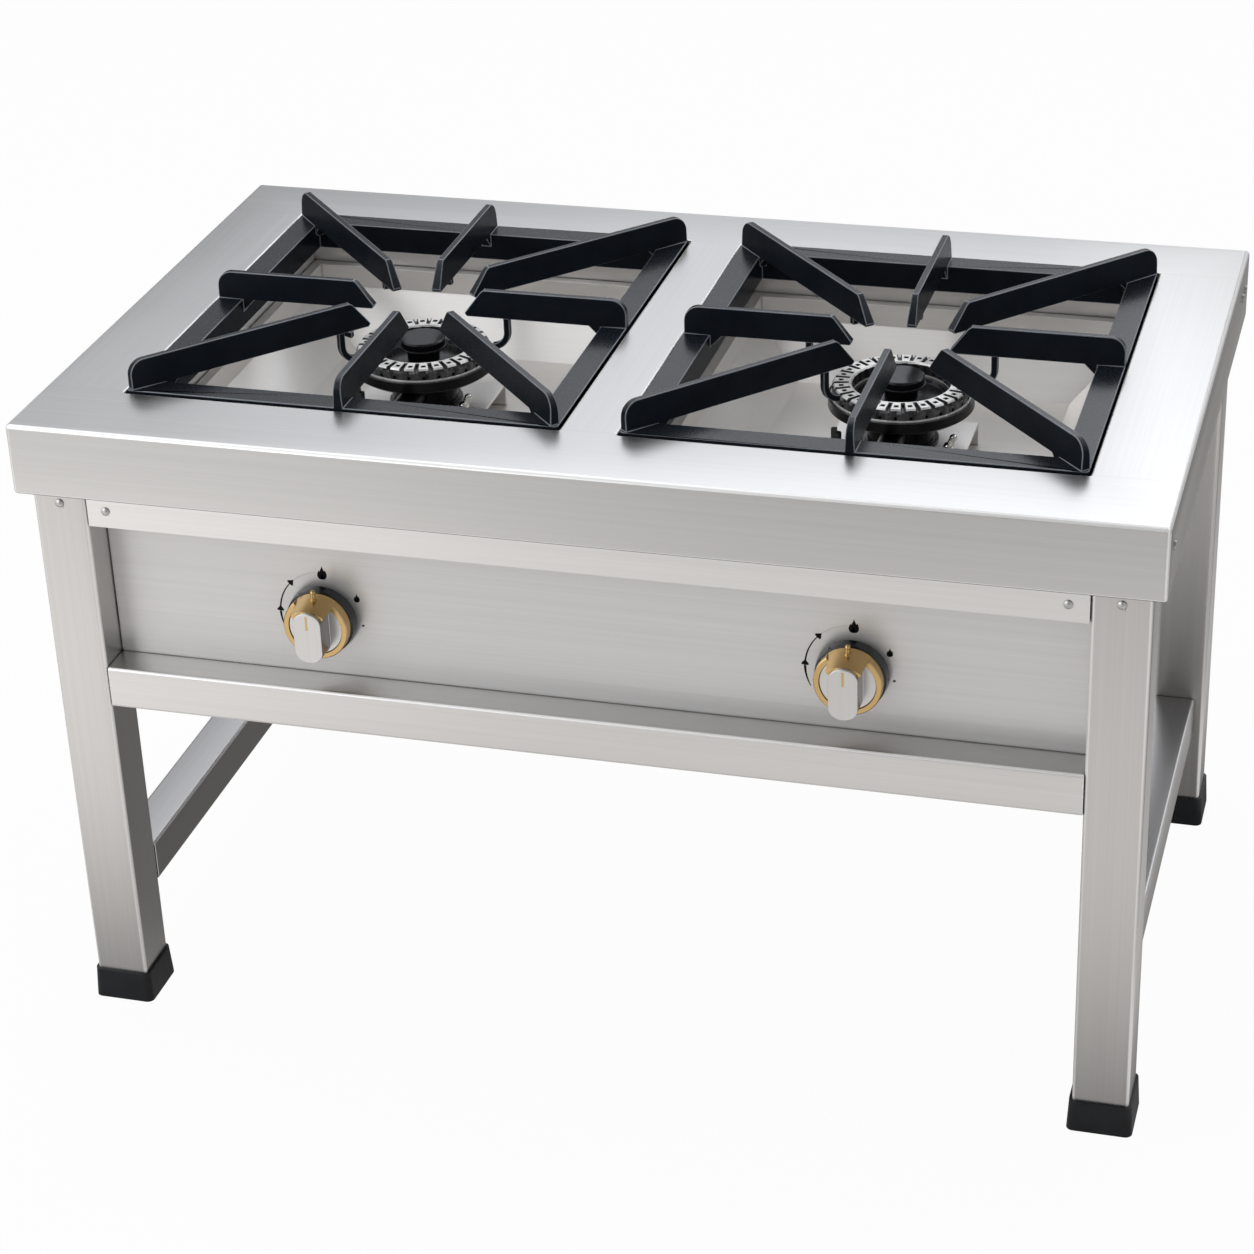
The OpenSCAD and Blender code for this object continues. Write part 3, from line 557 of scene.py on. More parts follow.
@dataclass(frozen=True)
class Casting(Finish):
    """Black enamelled casting: satin, with a fine skin and a painted highlight on its edges.

    Flanks have the specular level gloss, and faces that look up have top_gloss: painted shade on the flanks and
    painted sheen on the tops.
    """

    edge_highlight_gain: float = 2.2
    relief: float = 0.12
    depth: float = 0.0003
    mottle: float = 0.12
    skin_scale: float = 900.0
    patch_scale: float = 28.0
    patch_gains: Span = (0.82, 1.2)
    gloss: float = 0.5
    top_gloss: float = 0.5
    top_span: Span = (0.3, 0.9)

    def wire(self, g: Coat) -> None:
        """Wires the enamel's patches, skin and gloss.

        Args:
            g: The material's coat.
        """
        skin = g.cloud(self.skin_scale, 4.0)
        colour = g.mix(g.cloud(self.patch_scale), *map(g.tone, self.patch_gains))
        # Painted shade and sheen: flanks get less specular level than faces that look up.
        level = g.remap(g.facing()[2], *self.top_span, self.gloss, self.top_gloss)
        g.surface(Base_Color=g.edge_highlight(colour), Roughness=g.varied(skin), Normal=g.bumped(skin),
                  Specular_IOR_Level=level)


@dataclass(frozen=True)
class Moulded(Finish):
    """Black plastic with a fine moulded texture and a painted highlight on its edges."""

    edge_highlight_gain: float = 2.0
    edge_highlight_share: float = 0.5
    texture_scale: float = 1800.0
    patch_scale: float = 60.0
    patch_gains: Span = (0.8, 1.25)
    gloss: float = 0.5

    def wire(self, g: Coat) -> None:
        """Wires the plastic's patches and texture.

        Args:
            g: The material's coat.
        """
        patch = g.cloud(self.patch_scale)
        g.surface(Base_Color=g.edge_highlight(g.mix(patch, *map(g.tone, self.patch_gains))),
                  Roughness=g.varied(patch), Normal=g.bumped(g.cloud(self.texture_scale, 2.0)))
        g.shader.inputs["Specular IOR Level"].default_value = self.gloss


@dataclass(frozen=True)
class Turned(Finish):
    """Turned or drawn metal, such as brass, copper or nickel, with soft patches of tarnish."""

    edge_highlight_gain: float = 1.3
    edge_highlight_share: float = 0.5
    relief: float = 0.04
    mottle: float = 0.12
    tarnish: float = 0.25
    tarnish_gain: float = 0.6
    patch_scale: float = 45.0
    fine_scale: float = 700.0

    def wire(self, g: Coat) -> None:
        """Wires the metal's tarnish and fine texture.

        Args:
            g: The material's coat.
        """
        patch = g.cloud(self.patch_scale)
        colour = g.mix(g.math("MULTIPLY", patch, self.tarnish), g.tone(), g.tone(self.tarnish_gain))
        # Painted highlight: the edges are lightened.
        g.surface(Base_Color=g.edge_highlight(colour), Roughness=g.varied(patch),
                  Normal=g.bumped(g.cloud(self.fine_scale, 2.0)))
        g.shader.inputs["Metallic"].default_value = 1.0


@dataclass(frozen=True)
class CrownFinish(Finish):
    """Burner crown: bright machined pads, rim and foot ring, with a dark fluted side, slots and wells.

    Heights, radii and blurs are metres. The slots stand at the crests of the flutes' wave, and the wells
    between them. Their darkness is painted shade in the openings, the side's tone along the wave is
    painted shade on the flutes, and the pads' edges take the painted highlight.
    """

    relief: float = 0.8
    depth: float = 0.0012
    centre: Span = (0.0, 0.0)
    dark: Colour = (0.016, 0.016, 0.017)
    foot_top: float = 0.5591
    foot_blur: float = 0.0002
    pad_low: float = 0.5677
    blur: float = 0.0003
    flutes: int = 28
    metal: float = 0.45
    patina: float = 0.35
    patina_gain: float = 0.7
    flute_shade_gains: Span = (0.6, 2.6)
    patch_scale: float = 60.0
    rim: float = 0.0465
    slot_span: Span = (0.42, 0.56)
    well_ring: float = 0.05375
    well_half: float = 0.0021
    well_ramp: Ramp = (-0.52, -0.40, 1.0, 0.0)

    def shaded_openings(self, g: Coat, wave: Socket, x: Socket, y: Socket) -> Socket:
        """Marks the slots and the wells, whose dark colour is painted shade in the openings.

        Args:
            g: The material's coat.
            wave: The flutes' wave, 1 at a slot and -1 at a well.
            x: Place along X from the crown's middle.
            y: Place along Y from the crown's middle.

        Returns:
            The mask.
        """
        radius = g.math("SQRT", g.math("MULTIPLY_ADD", x, x, g.math("MULTIPLY", y, y)))
        slot = g.math("MULTIPLY", g.remap(wave, *self.slot_span),
                      g.remap(radius, self.rim - self.blur, self.rim + self.blur))
        off_ring = g.math("ABSOLUTE", g.math("SUBTRACT", radius, self.well_ring))
        well = g.math("MULTIPLY", g.remap(wave, *self.well_ramp),
                      g.remap(off_ring, self.well_half - self.blur, self.well_half + self.blur, 1.0, 0.0))
        return g.math("MAXIMUM", slot, well)

    def wire(self, g: Coat) -> None:
        """Wires the bright and the dark parts of the crown.

        Args:
            g: The material's coat.
        """
        patch = g.cloud(self.patch_scale)
        centred = g.add("ShaderNodeMapping", {0: g.add("ShaderNodeTexCoord").outputs["Object"],
                                              "Location": (-self.centre[0], -self.centre[1], 0.0)})
        x, y, height = g.add("ShaderNodeSeparateXYZ", {0: centred.outputs[0]}).outputs
        wave = g.math("COSINE", g.math("MULTIPLY", g.math("ARCTAN2", y, x), float(self.flutes)))
        # Painted shade: the slots and wells take the dark colour, not the pads'.
        pad = g.math("SUBTRACT", 1.0, self.shaded_openings(g, wave, x, y))
        top = g.math("MULTIPLY", g.remap(height, self.pad_low, self.pad_low + self.blur), pad)
        foot = g.remap(height, self.foot_top, self.foot_top + self.foot_blur, 1.0, 0.0)
        bright = g.math("MAXIMUM", top, foot)
        metal = g.mix(g.math("MULTIPLY", patch, self.patina), g.tone(), g.tone(self.patina_gain))
        # Painted shade: the side is lighter and darker along the flutes' wave.
        black = g.mix(g.remap(wave, -1.0, 1.0), *(shade(self.dark, gain) for gain in self.flute_shade_gains))
        side_wave = g.math("MULTIPLY", wave, g.math("SUBTRACT", 1.0, bright))
        g.surface(Base_Color=g.mix(bright, black, g.edge_highlight(metal)), Roughness=g.varied(patch),
                  Metallic=g.math("MULTIPLY", bright, self.metal), Normal=g.bumped(side_wave))


class Finishes:
    """All finishes of the stove, made once and handed out by name."""

    STEEL: Colour = (0.60, 0.592, 0.582)
    SHEET_ROUGHNESS: float = 0.33
    SHEET_EDGE: float = 0.0010
    # Painted light and shade: one stainless, lighter on fascia and rail, darker on uprights and side rails.
    SHEETS: dict[str, tuple[Colour, Brush]] = {
        "stainless_across": (STEEL, Brush.ALONG_X),
        "stainless_upright": ((0.57, 0.558, 0.546), Brush.ALONG_Z),
        "stainless_fascia": ((0.74, 0.73, 0.718), Brush.ALONG_X),
        "stainless_rail": ((0.645, 0.634, 0.622), Brush.ALONG_X),
        "stainless_deep": (STEEL, Brush.ALONG_Y),
        "stainless_side_rail": ((0.42, 0.412, 0.408), Brush.ALONG_Y),
    }
    CROWN: Colour = (0.84, 0.83, 0.81)
    CROWN_CENTRE: Span = (0.225, 0.006)

    def __init__(self) -> None:
        """Builds every finish's material."""
        effects = Effects()
        makers = [
            StripTop("stainless_worktop", self.STEEL, self.SHEET_ROUGHNESS, 0.0012),
            *(BrushedSteel(name, colour, self.SHEET_ROUGHNESS, self.SHEET_EDGE, brush=brush)
              for name, (colour, brush) in self.SHEETS.items()),
            # Painted highlight: near-white, half-matt steel on the bevels of the rounded folds.
            BrushedSteel("fold_painted_highlight", (0.93, 0.922, 0.91), 0.28, 0.0002, metal=0.35, contrast=0.02,
                         fold=0.0),
            # Painted light: the panel's stainless is lighter than the other sheets.
            BrushedSteel("stainless_panel", (0.70, 0.688, 0.675), 0.36, 0.0010, metal=0.45),
            BrushedSteel("liner_sheet", (0.84, 0.818, 0.792), 0.34, 0.0010, contrast=0.03, relief=0.02,
                         metal=0.5, fold=0.0),
            Casting("grate_enamel", (0.010, 0.013, 0.018), 0.24, 0.0007, gloss=0.03, top_gloss=0.42,
                    edge_highlight_gain=4.0),
            # Painted highlight: lighter enamel on the bevels of the grates' rounded edges.
            Casting("grate_painted_highlight", (0.17, 0.19, 0.215), 0.28, 0.0003, relief=0.05, edge_highlight_gain=1.2),
            Casting("burner_enamel", (0.006, 0.006, 0.007), 0.20, 0.0007, relief=0.05, gloss=0.08,
                    top_gloss=0.35, edge_highlight_gain=24.0),
            *(CrownFinish(f"crown_metal_{side}", self.CROWN, 0.28, 0.0005,
                          centre=(side_sign(side) * self.CROWN_CENTRE[0], self.CROWN_CENTRE[1]))
              for side in SIDES),
            Moulded("foot_plastic", (0.011, 0.012, 0.014), 0.40, 0.0012, gloss=0.3),
            Moulded("knob_plastic", (0.010, 0.011, 0.013), 0.16, 0.0008),
            Turned("gold_brass", (0.57, 0.385, 0.17), 0.24, 0.0004, tarnish=0.08, relief=0.0,
                   mottle=0.02),
            Turned("tap_brass", (0.60, 0.45, 0.22), 0.35, 0.0006),
            Turned("copper_tube", (0.68, 0.38, 0.25), 0.34, 0.0004),
            Turned("nickel", (0.70, 0.68, 0.64), 0.16, 0.0004),
            BrushedSteel("turned_steel", (0.62, 0.61, 0.60), 0.30, 0.0006, brush=Brush.ALONG_Z,
                         contrast=0.05, relief=0.03, fold=0.0),
            GripSteel("grip_steel", (0.60, 0.59, 0.58), 0.30, 0.0006, brush=Brush.ALONG_Z,
                      contrast=0.05, relief=0.03, fold=0.0, crevice=0.001),
            Turned("bolt_steel", (0.52, 0.51, 0.50), 0.36, 0.0005),
            Casting("black_enamel", (0.015, 0.015, 0.016), 0.35, 0.0006),
            Moulded("print_black", (0.004, 0.004, 0.005), 0.45, 0.0002, gloss=0.08),
            Moulded("print_pale", (0.42, 0.41, 0.40), 0.45, 0.0002),
        ]
        self.by_name = {maker.name: maker.material(effects) for maker in makers}

    def dress(self, piece: bpy.types.Object, name: str) -> None:
        """Gives a piece one finish in every slot.

        Args:
            piece: The object to dress.
            name: The finish's name.
        """
        material = self.by_name[name]
        if not piece.material_slots:
            piece.data.materials.append(material)
        for slot in piece.material_slots:
            slot.material = material


# ---------------------------------------------------------------- the object


@dataclass
class CadDresser:
    """Dresses every CAD node by the start of its name."""

    finishes: Finishes
    plan: dict[str, str] = field(default_factory=lambda: {
        "worktop": "stainless_worktop",
        "leg_": "stainless_upright",
        "foot_": "foot_plastic",
        "front_fascia": "stainless_fascia",
        "rear_fascia": "stainless_fascia",
        "control_panel": "stainless_panel",
        "rear_panel": "stainless_across",
        "lower_": "stainless_rail",
        "side_rail": "stainless_side_rail",
        "side_panel": "stainless_deep",
        "well_": "liner_sheet",
        "drip_pan": "liner_sheet",
        "burner_bridge": "liner_sheet",
        "burner_body": "burner_enamel",
        "burner_crown_left": "crown_metal_left",
        "burner_crown_right": "crown_metal_right",
        "burner_cap": "burner_enamel",
        "grate_": "grate_enamel",
        "gas_tap": "tap_brass",
        "tap_plug": "tap_brass",
        "tap_stem": "turned_steel",
        "knob_skirt": "knob_plastic",
        "knob_ring": "gold_brass",
        "knob_grip": "grip_steel",
        "gas_rail": "turned_steel",
        "gas_inlet": "tap_brass",
        "supply_tube": "copper_tube",
        "injector": "tap_brass",
        "flame_probe": "nickel",
        "igniter": "black_enamel",
        "frame_bolts": "bolt_steel",
        "apron_screws": "bolt_steel",
    })

    def finish_of(self, node: str) -> str:
        """Returns the name of a node's finish."""
        return next(finish for start, finish in self.plan.items() if node.startswith(start))

    def dress_all(self) -> None:
        """Dresses every CAD node."""
        for node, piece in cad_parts.items():
            name = self.finish_of(node)
            self.finishes.dress(piece, name)
            log.info("node %s: %s", node, name)


def smooth_loop(points: Outline, steps: int = 4) -> list[Vector]:
    """Rounds a closed outline with a curve through its points.

    Args:
        points: The outline's points, in order.
        steps: Points made for each stretch between two of them.

    Returns:
        The rounded outline.
    """
    ring = [Vector((x, y, 0.0)) for x, y in points]
    count = len(ring)
    out = []
    for i in range(count):
        before, a, b, after = (ring[(i + k) % count] for k in (-1, 0, 1, 2))
        out += interpolate_bezier(a, a + (b - before) / 6, b - (after - a) / 6, b, steps + 1)[:-1]
    return out


def add_piece(name: str, bm: bmesh.types.BMesh, finishes: Finishes, finish: str, body: str) -> bpy.types.Object:
    """Turns a bmesh in metres into a dressed piece that rides on a body.

    Args:
        name: The piece's name.
        bm: Its mesh, which is freed.
        finishes: All finishes.
        finish: The finish's name.
        body: The body that it rides on.

    Returns:
        The piece.
    """
    mesh = bpy.data.meshes.new(name)
    bm.to_mesh(mesh)
    bm.free()
    piece = bpy.data.objects.new(name, mesh)
    bpy.context.scene.collection.objects.link(piece)
    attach(piece, body)
    finishes.dress(piece, finish)
    log.info("piece %s: %d faces, on %s", name, len(mesh.polygons), body)
    return piece


@dataclass
class PanelMarks:
    """Printed signs round one knob: two flames, a pale and a black arc with arrowheads, and a dot.

    Sizes are millimetres. Angles run clockwise from straight up, seen from the front. An arc's widths are
    those at its start and its end, and a gap is the angle between an arrow and the arc beside it.
    """

    side: str
    finishes: Finishes
    axis_x: float = 237.0
    axis_z: float = 419.0
    face_y: float = -254.0
    ink: float = 0.08
    flame_radius: float = 41.6
    small_flame_radius: float = 36.6
    small_flame_angle: float = 57.0
    flame_size: float = 1.15
    small_flame_size: float = 0.72
    arc_radius: float = 42.0
    arc_step: float = 4.0
    arrow_angles: Span = (-45.5, -87.0)
    arrow_size: float = 1.2
    arrow_turn: float = 90.0
    tip_gap: float = 4.0
    pale_end: float = -8.0
    pale_widths: Span = (0.25, 0.4)
    black_gap: float = 2.5
    black_widths: Span = (1.5, 0.9)
    tail_gap: float = 3.5
    tail_end: float = -118.0
    tail_widths: Span = (2.2, 0.7)
    dot_radius: float = 35.2
    dot_angle: float = 101.0
    flame: Outline = field(default_factory=lambda: [
        (0.9, -5.4), (2.6, -4.7), (3.7, -2.9), (3.8, -0.8), (3.3, 0.9), (2.7, 2.6), (2.3, 1.4),
        (1.8, 1.0), (1.5, 2.4), (0.9, 4.0), (0.1, 5.8), (-0.3, 4.2), (-1.1, 2.7), (-1.8, 1.0),
        (-2.3, 2.0), (-3.2, 0.4), (-3.8, -1.6), (-3.4, -3.8), (-2.3, -5.1), (-0.9, -5.4),
        (-1.5, -4.2), (-1.2, -2.9), (-0.6, -2.2), (0.0, -0.8), (0.5, -2.0), (1.1, -2.8), (1.4, -4.1)])
    arrow: Outline = field(default_factory=lambda: [
        (0.0, 2.9), (1.2, 1.3), (2.6, -0.5), (2.2, -1.6), (0.7, -1.7), (0.0, -2.3), (-0.7, -1.7),
        (-2.2, -1.6), (-2.6, -0.5), (-1.2, 1.3)])
    dot: Outline = field(default_factory=lambda: [
        (1.4, 0.5), (0.2, 1.0), (-1.3, -0.2), (-0.2, -1.0), (1.2, -0.6)])

    def place(self, bm: bmesh.types.BMesh) -> None:
        """Gives flat ink its thickness and lays it on the panel, in metres.

        Args:
            bm: Flat faces in the plane of the panel, x to the right and y up, round the knob's axis.
        """
        made = bmesh.ops.extrude_face_region(bm, geom=list(bm.faces))
        up = [v for v in made["geom"] if isinstance(v, bmesh.types.BMVert)]
        bmesh.ops.translate(bm, verts=up, vec=(0.0, 0.0, self.ink))
        bmesh.ops.recalc_face_normals(bm, faces=bm.faces)
        turn = Matrix.Rotation(math.pi / 2, 4, "X")
        spot = Matrix.Translation((side_sign(self.side) * self.axis_x, self.face_y, self.axis_z))
        bmesh.ops.transform(bm, matrix=Matrix.Scale(MM, 4) @ spot @ turn, verts=bm.verts)

    def shape(self, outline: Outline, radius: float, angle: float, size: float = 1.0,
              turn: float = 0.0) -> bmesh.types.BMesh:
        """Makes one flat sign from its outline.

        Args:
            outline: The sign's outline about its own middle.
            radius: Distance of that middle from the knob's axis.
            angle: Its angle round the knob.
            size: Scale of the outline.
            turn: Turn of the sign, clockwise.

        Returns:
            The flat sign.
        """
        bm = bmesh.new()
        bm.faces.new([bm.verts.new(point) for point in smooth_loop(outline)])
        bmesh.ops.triangulate(bm, faces=bm.faces)
        around = math.radians(angle)
        spot = Matrix.Translation((radius * math.sin(around), radius * math.cos(around), 0.0))
        spin = Matrix.Rotation(-math.radians(turn), 4, "Z")
        bmesh.ops.transform(bm, matrix=spot @ spin @ Matrix.Scale(size, 4), verts=bm.verts)
        return bm

    def arrowhead(self, angle: float) -> bmesh.types.BMesh:
        """Makes one flat arrowhead that points along the arc, at an angle."""
        return self.shape(self.arrow, self.arc_radius, angle, self.arrow_size, angle + self.arrow_turn)

    def arc(self, start: float, end: float, widths: Span) -> bmesh.types.BMesh:
        """Makes one arc round the knob by spinning a short edge.

        Args:
            start: Angle at which it starts.
            end: Angle at which it ends.
            widths: Its width at the start and at the end.

        Returns:
            The flat arc.
        """
        width, end_width = widths
        bm = bmesh.new()
        low = bm.verts.new((0.0, self.arc_radius - width / 2, 0.0))
        high = bm.verts.new((0.0, self.arc_radius + width / 2, 0.0))
        edge = bm.edges.new((low, high))
        bmesh.ops.rotate(bm, verts=bm.verts, cent=(0, 0, 0),
                         matrix=Matrix.Rotation(-math.radians(start), 3, "Z"))
        steps = max(4, round(abs(end - start) / self.arc_step))
        bmesh.ops.spin(bm, geom=[low, high, edge], cent=(0, 0, 0), axis=(0, 0, 1), steps=steps,
                       angle=-math.radians(end - start))
        bmesh.ops.remove_doubles(bm, verts=bm.verts, dist=1e-5)
        for vert in bm.verts:
            reached = math.degrees(math.atan2(vert.co.x, vert.co.y))
            share = (reached - start) / (end - start)
            away = vert.co.length - self.arc_radius
            narrowed = away * (1.0 + share * (end_width / width - 1.0))
            vert.co = vert.co.normalized() * (self.arc_radius + narrowed)
        return bm

    def build(self) -> None:
        """Prints every sign of this knob."""
        first, second = self.arrow_angles
        signs = {
            "flame_large": self.shape(self.flame, self.flame_radius, 0.0, self.flame_size),
            "flame_small": self.shape(self.flame, self.small_flame_radius, self.small_flame_angle,
                                      self.small_flame_size),
            "arrow_up": self.arrowhead(first),
            "arrow_low": self.arrowhead(second),
            "arc_pale": self.arc(first + self.tip_gap, self.pale_end, self.pale_widths),
            "arc_black": self.arc(second + self.tip_gap, first - self.black_gap, self.black_widths),
            "arc_tail": self.arc(second - self.tail_gap, self.tail_end, self.tail_widths),
            "dot": self.shape(self.dot, self.dot_radius, self.dot_angle),
        }
        for name, bm in signs.items():
            self.place(bm)
            finish = "print_pale" if name == "arc_pale" else "print_black"
            add_piece(f"mark_{name}_{self.side}", bm, self.finishes, finish, "frame")


@dataclass
class KnobPointer:
    """Gold line let into the front of a knob's grip. Sizes are millimetres."""

    side: str
    finishes: Finishes
    axis_x: float = 237.0
    axis_z: float = 419.0
    front_y: float = -299.0
    top: float = 21.6
    length: float = 13.5
    width: float = 2.0
    proud: float = 0.15
    rounding: float = 0.6

    def build(self) -> None:
        """Makes the line: a thin bar with softened edges, half of it sunk into the grip."""
        bm = bmesh.new()
        bmesh.ops.create_cube(bm, size=1.0)
        bmesh.ops.scale(bm, vec=(self.width, self.proud * 2, self.length), verts=bm.verts)
        bmesh.ops.bevel(bm, geom=bm.edges, offset=self.proud * self.rounding, offset_type="OFFSET",
                        segments=2, profile=0.5, affect="EDGES", material=-1, clamp_overlap=True)
        middle = Vector((side_sign(self.side) * self.axis_x, self.front_y,
                         self.axis_z + self.top - self.length / 2))
        bmesh.ops.transform(bm, matrix=Matrix.Scale(MM, 4) @ Matrix.Translation(middle), verts=bm.verts)
        add_piece(f"pointer_{self.side}", bm, self.finishes, "gold_brass", f"knob_{self.side}")


@dataclass
class SoftEdged:
    """A copy of a CAD node whose sharp edges are really rounded, which stands for that node.

    Lengths are metres and angles degrees. Widen stretches the piece's front bar sideways, which is
    bar_share of its depth.
    """

    node: str
    body: str
    slot: str
    dresser: CadDresser
    width: float
    highlight_finish: str = ""
    widen: float = 1.0
    bar_share: float = 0.3
    segments: int = 2
    sharp: float = 32.0
    merge: float = 2e-6
    flat: float = 0.6

    def widened(self, bm: bmesh.types.BMesh) -> None:
        """Widens the front bar of the piece sideways about its own middle.

        Args:
            bm: The copy's mesh.
        """
        front = min(v.co.y for v in bm.verts)
        back = max(v.co.y for v in bm.verts)
        middle = sum(v.co.x for v in bm.verts) / len(bm.verts)
        reach = front + (back - front) * self.bar_share
        spots = {(round(v.co.x, 4), round(v.co.z, 4)) for v in bm.verts if v.co.y < reach}
        for vert in bm.verts:
            if (round(vert.co.x, 4), round(vert.co.z, 4)) in spots:
                vert.co.x = middle + (vert.co.x - middle) * self.widen

    def round_edges(self, piece: bpy.types.Object) -> None:
        """Rounds the sharp edges, and where a highlight finish is named, gives them that finish as a painted
        highlight.

        Args:
            piece: The copy.
        """
        bevel = piece.modifiers.new("rounded", "BEVEL")
        bevel.width = self.width
        bevel.segments = self.segments
        bevel.limit_method = "ANGLE"
        bevel.angle_limit = math.radians(self.sharp)
        bevel.use_clamp_overlap = False
        bevel.harden_normals = True
        if self.highlight_finish:
            piece.data.materials.append(self.dresser.finishes.by_name[self.highlight_finish])
            bevel.material = len(piece.data.materials) - 1

    def build(self) -> None:
        """Merges the copy, rounds its edges and lets it replace the node."""
        bm = bmesh.new()
        bm.from_mesh(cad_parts[self.node].data)
        bmesh.ops.remove_doubles(bm, verts=bm.verts, dist=self.merge)
        bmesh.ops.dissolve_limit(bm, angle_limit=math.radians(self.flat), verts=bm.verts,
                                 edges=bm.edges)
        if self.widen != 1.0:
            self.widened(bm)
        for face in bm.faces:
            face.smooth = True
        for edge in bm.edges:
            corner = edge.is_manifold and edge.calc_face_angle(0.0) > math.radians(self.sharp)
            edge.smooth = not corner
        piece = add_piece(f"{self.node}_soft", bm, self.dresser.finishes,
                          self.dresser.finish_of(self.node), self.body)
        self.round_edges(piece)
        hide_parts(self.node)


@dataclass
class Body:
    """The stainless body's sheets and tubes with their folds rounded, and a painted highlight on the folds.
    Folds are metres.
    """

    dresser: CadDresser
    folds: dict[str, float] = field(default_factory=lambda: {
        "worktop": 0.0014,
        "front_fascia": 0.0007,
        "lower_front_rail": 0.0010,
        "control_panel": 0.0006,
        "leg_front_left": 0.0012,
        "leg_front_right": 0.0012,
        "leg_rear_left": 0.0012,
        "leg_rear_right": 0.0012,
        "side_rail_left": 0.0010,
        "side_rail_right": 0.0010,
    })

    def build(self) -> None:
        """Rounds each sheet and tube in the list, and gives its folds the painted highlight finish."""
        for node, fold in self.folds.items():
            SoftEdged(node, "frame", "stainless", self.dresser, fold, "fold_painted_highlight").build()


@dataclass
class Station:
    """One burner's place: the signs, the knob's pointer and grip, and the grate. Edges are metres."""

    side: str
    dresser: CadDresser
    grate_edge: float = 0.0008
    grip_edge: float = 0.0006
    grip_widening: float = 1.16

    def build(self) -> None:
        """Makes the pieces of this side."""
        finishes = self.dresser.finishes
        PanelMarks(self.side, finishes).build()
        KnobPointer(self.side, finishes).build()
        # The grate's rounded edges take the painted highlight finish.
        SoftEdged(f"grate_{self.side}", f"grate_{self.side}", "cast_iron", self.dresser,
                  self.grate_edge, "grate_painted_highlight").build()
        SoftEdged(f"knob_grip_{self.side}", f"knob_{self.side}", "turned_steel", self.dresser,
                  self.grip_edge, widen=self.grip_widening).build()


# ---------------------------------------------------------------- the studio


@dataclass(frozen=True)
class Lamp:
    """One soft area lamp: its place, the point that it faces, its size in metres and its watts."""

    name: str
    place: Point
    aim: Point
    size: Span
    power: float

    def hang(self) -> None:
        """Creates the lamp and aims it."""
        data = bpy.data.lights.new(self.name, "AREA")
        data.shape = "RECTANGLE"
        data.size, data.size_y = self.size
        data.energy = self.power
        lamp = bpy.data.objects.new(self.name, data)
        lamp.location = self.place
        lamp.rotation_euler = (Vector(self.aim) - Vector(self.place)).to_track_quat("-Z", "Y").to_euler()
        bpy.context.scene.collection.objects.link(lamp)


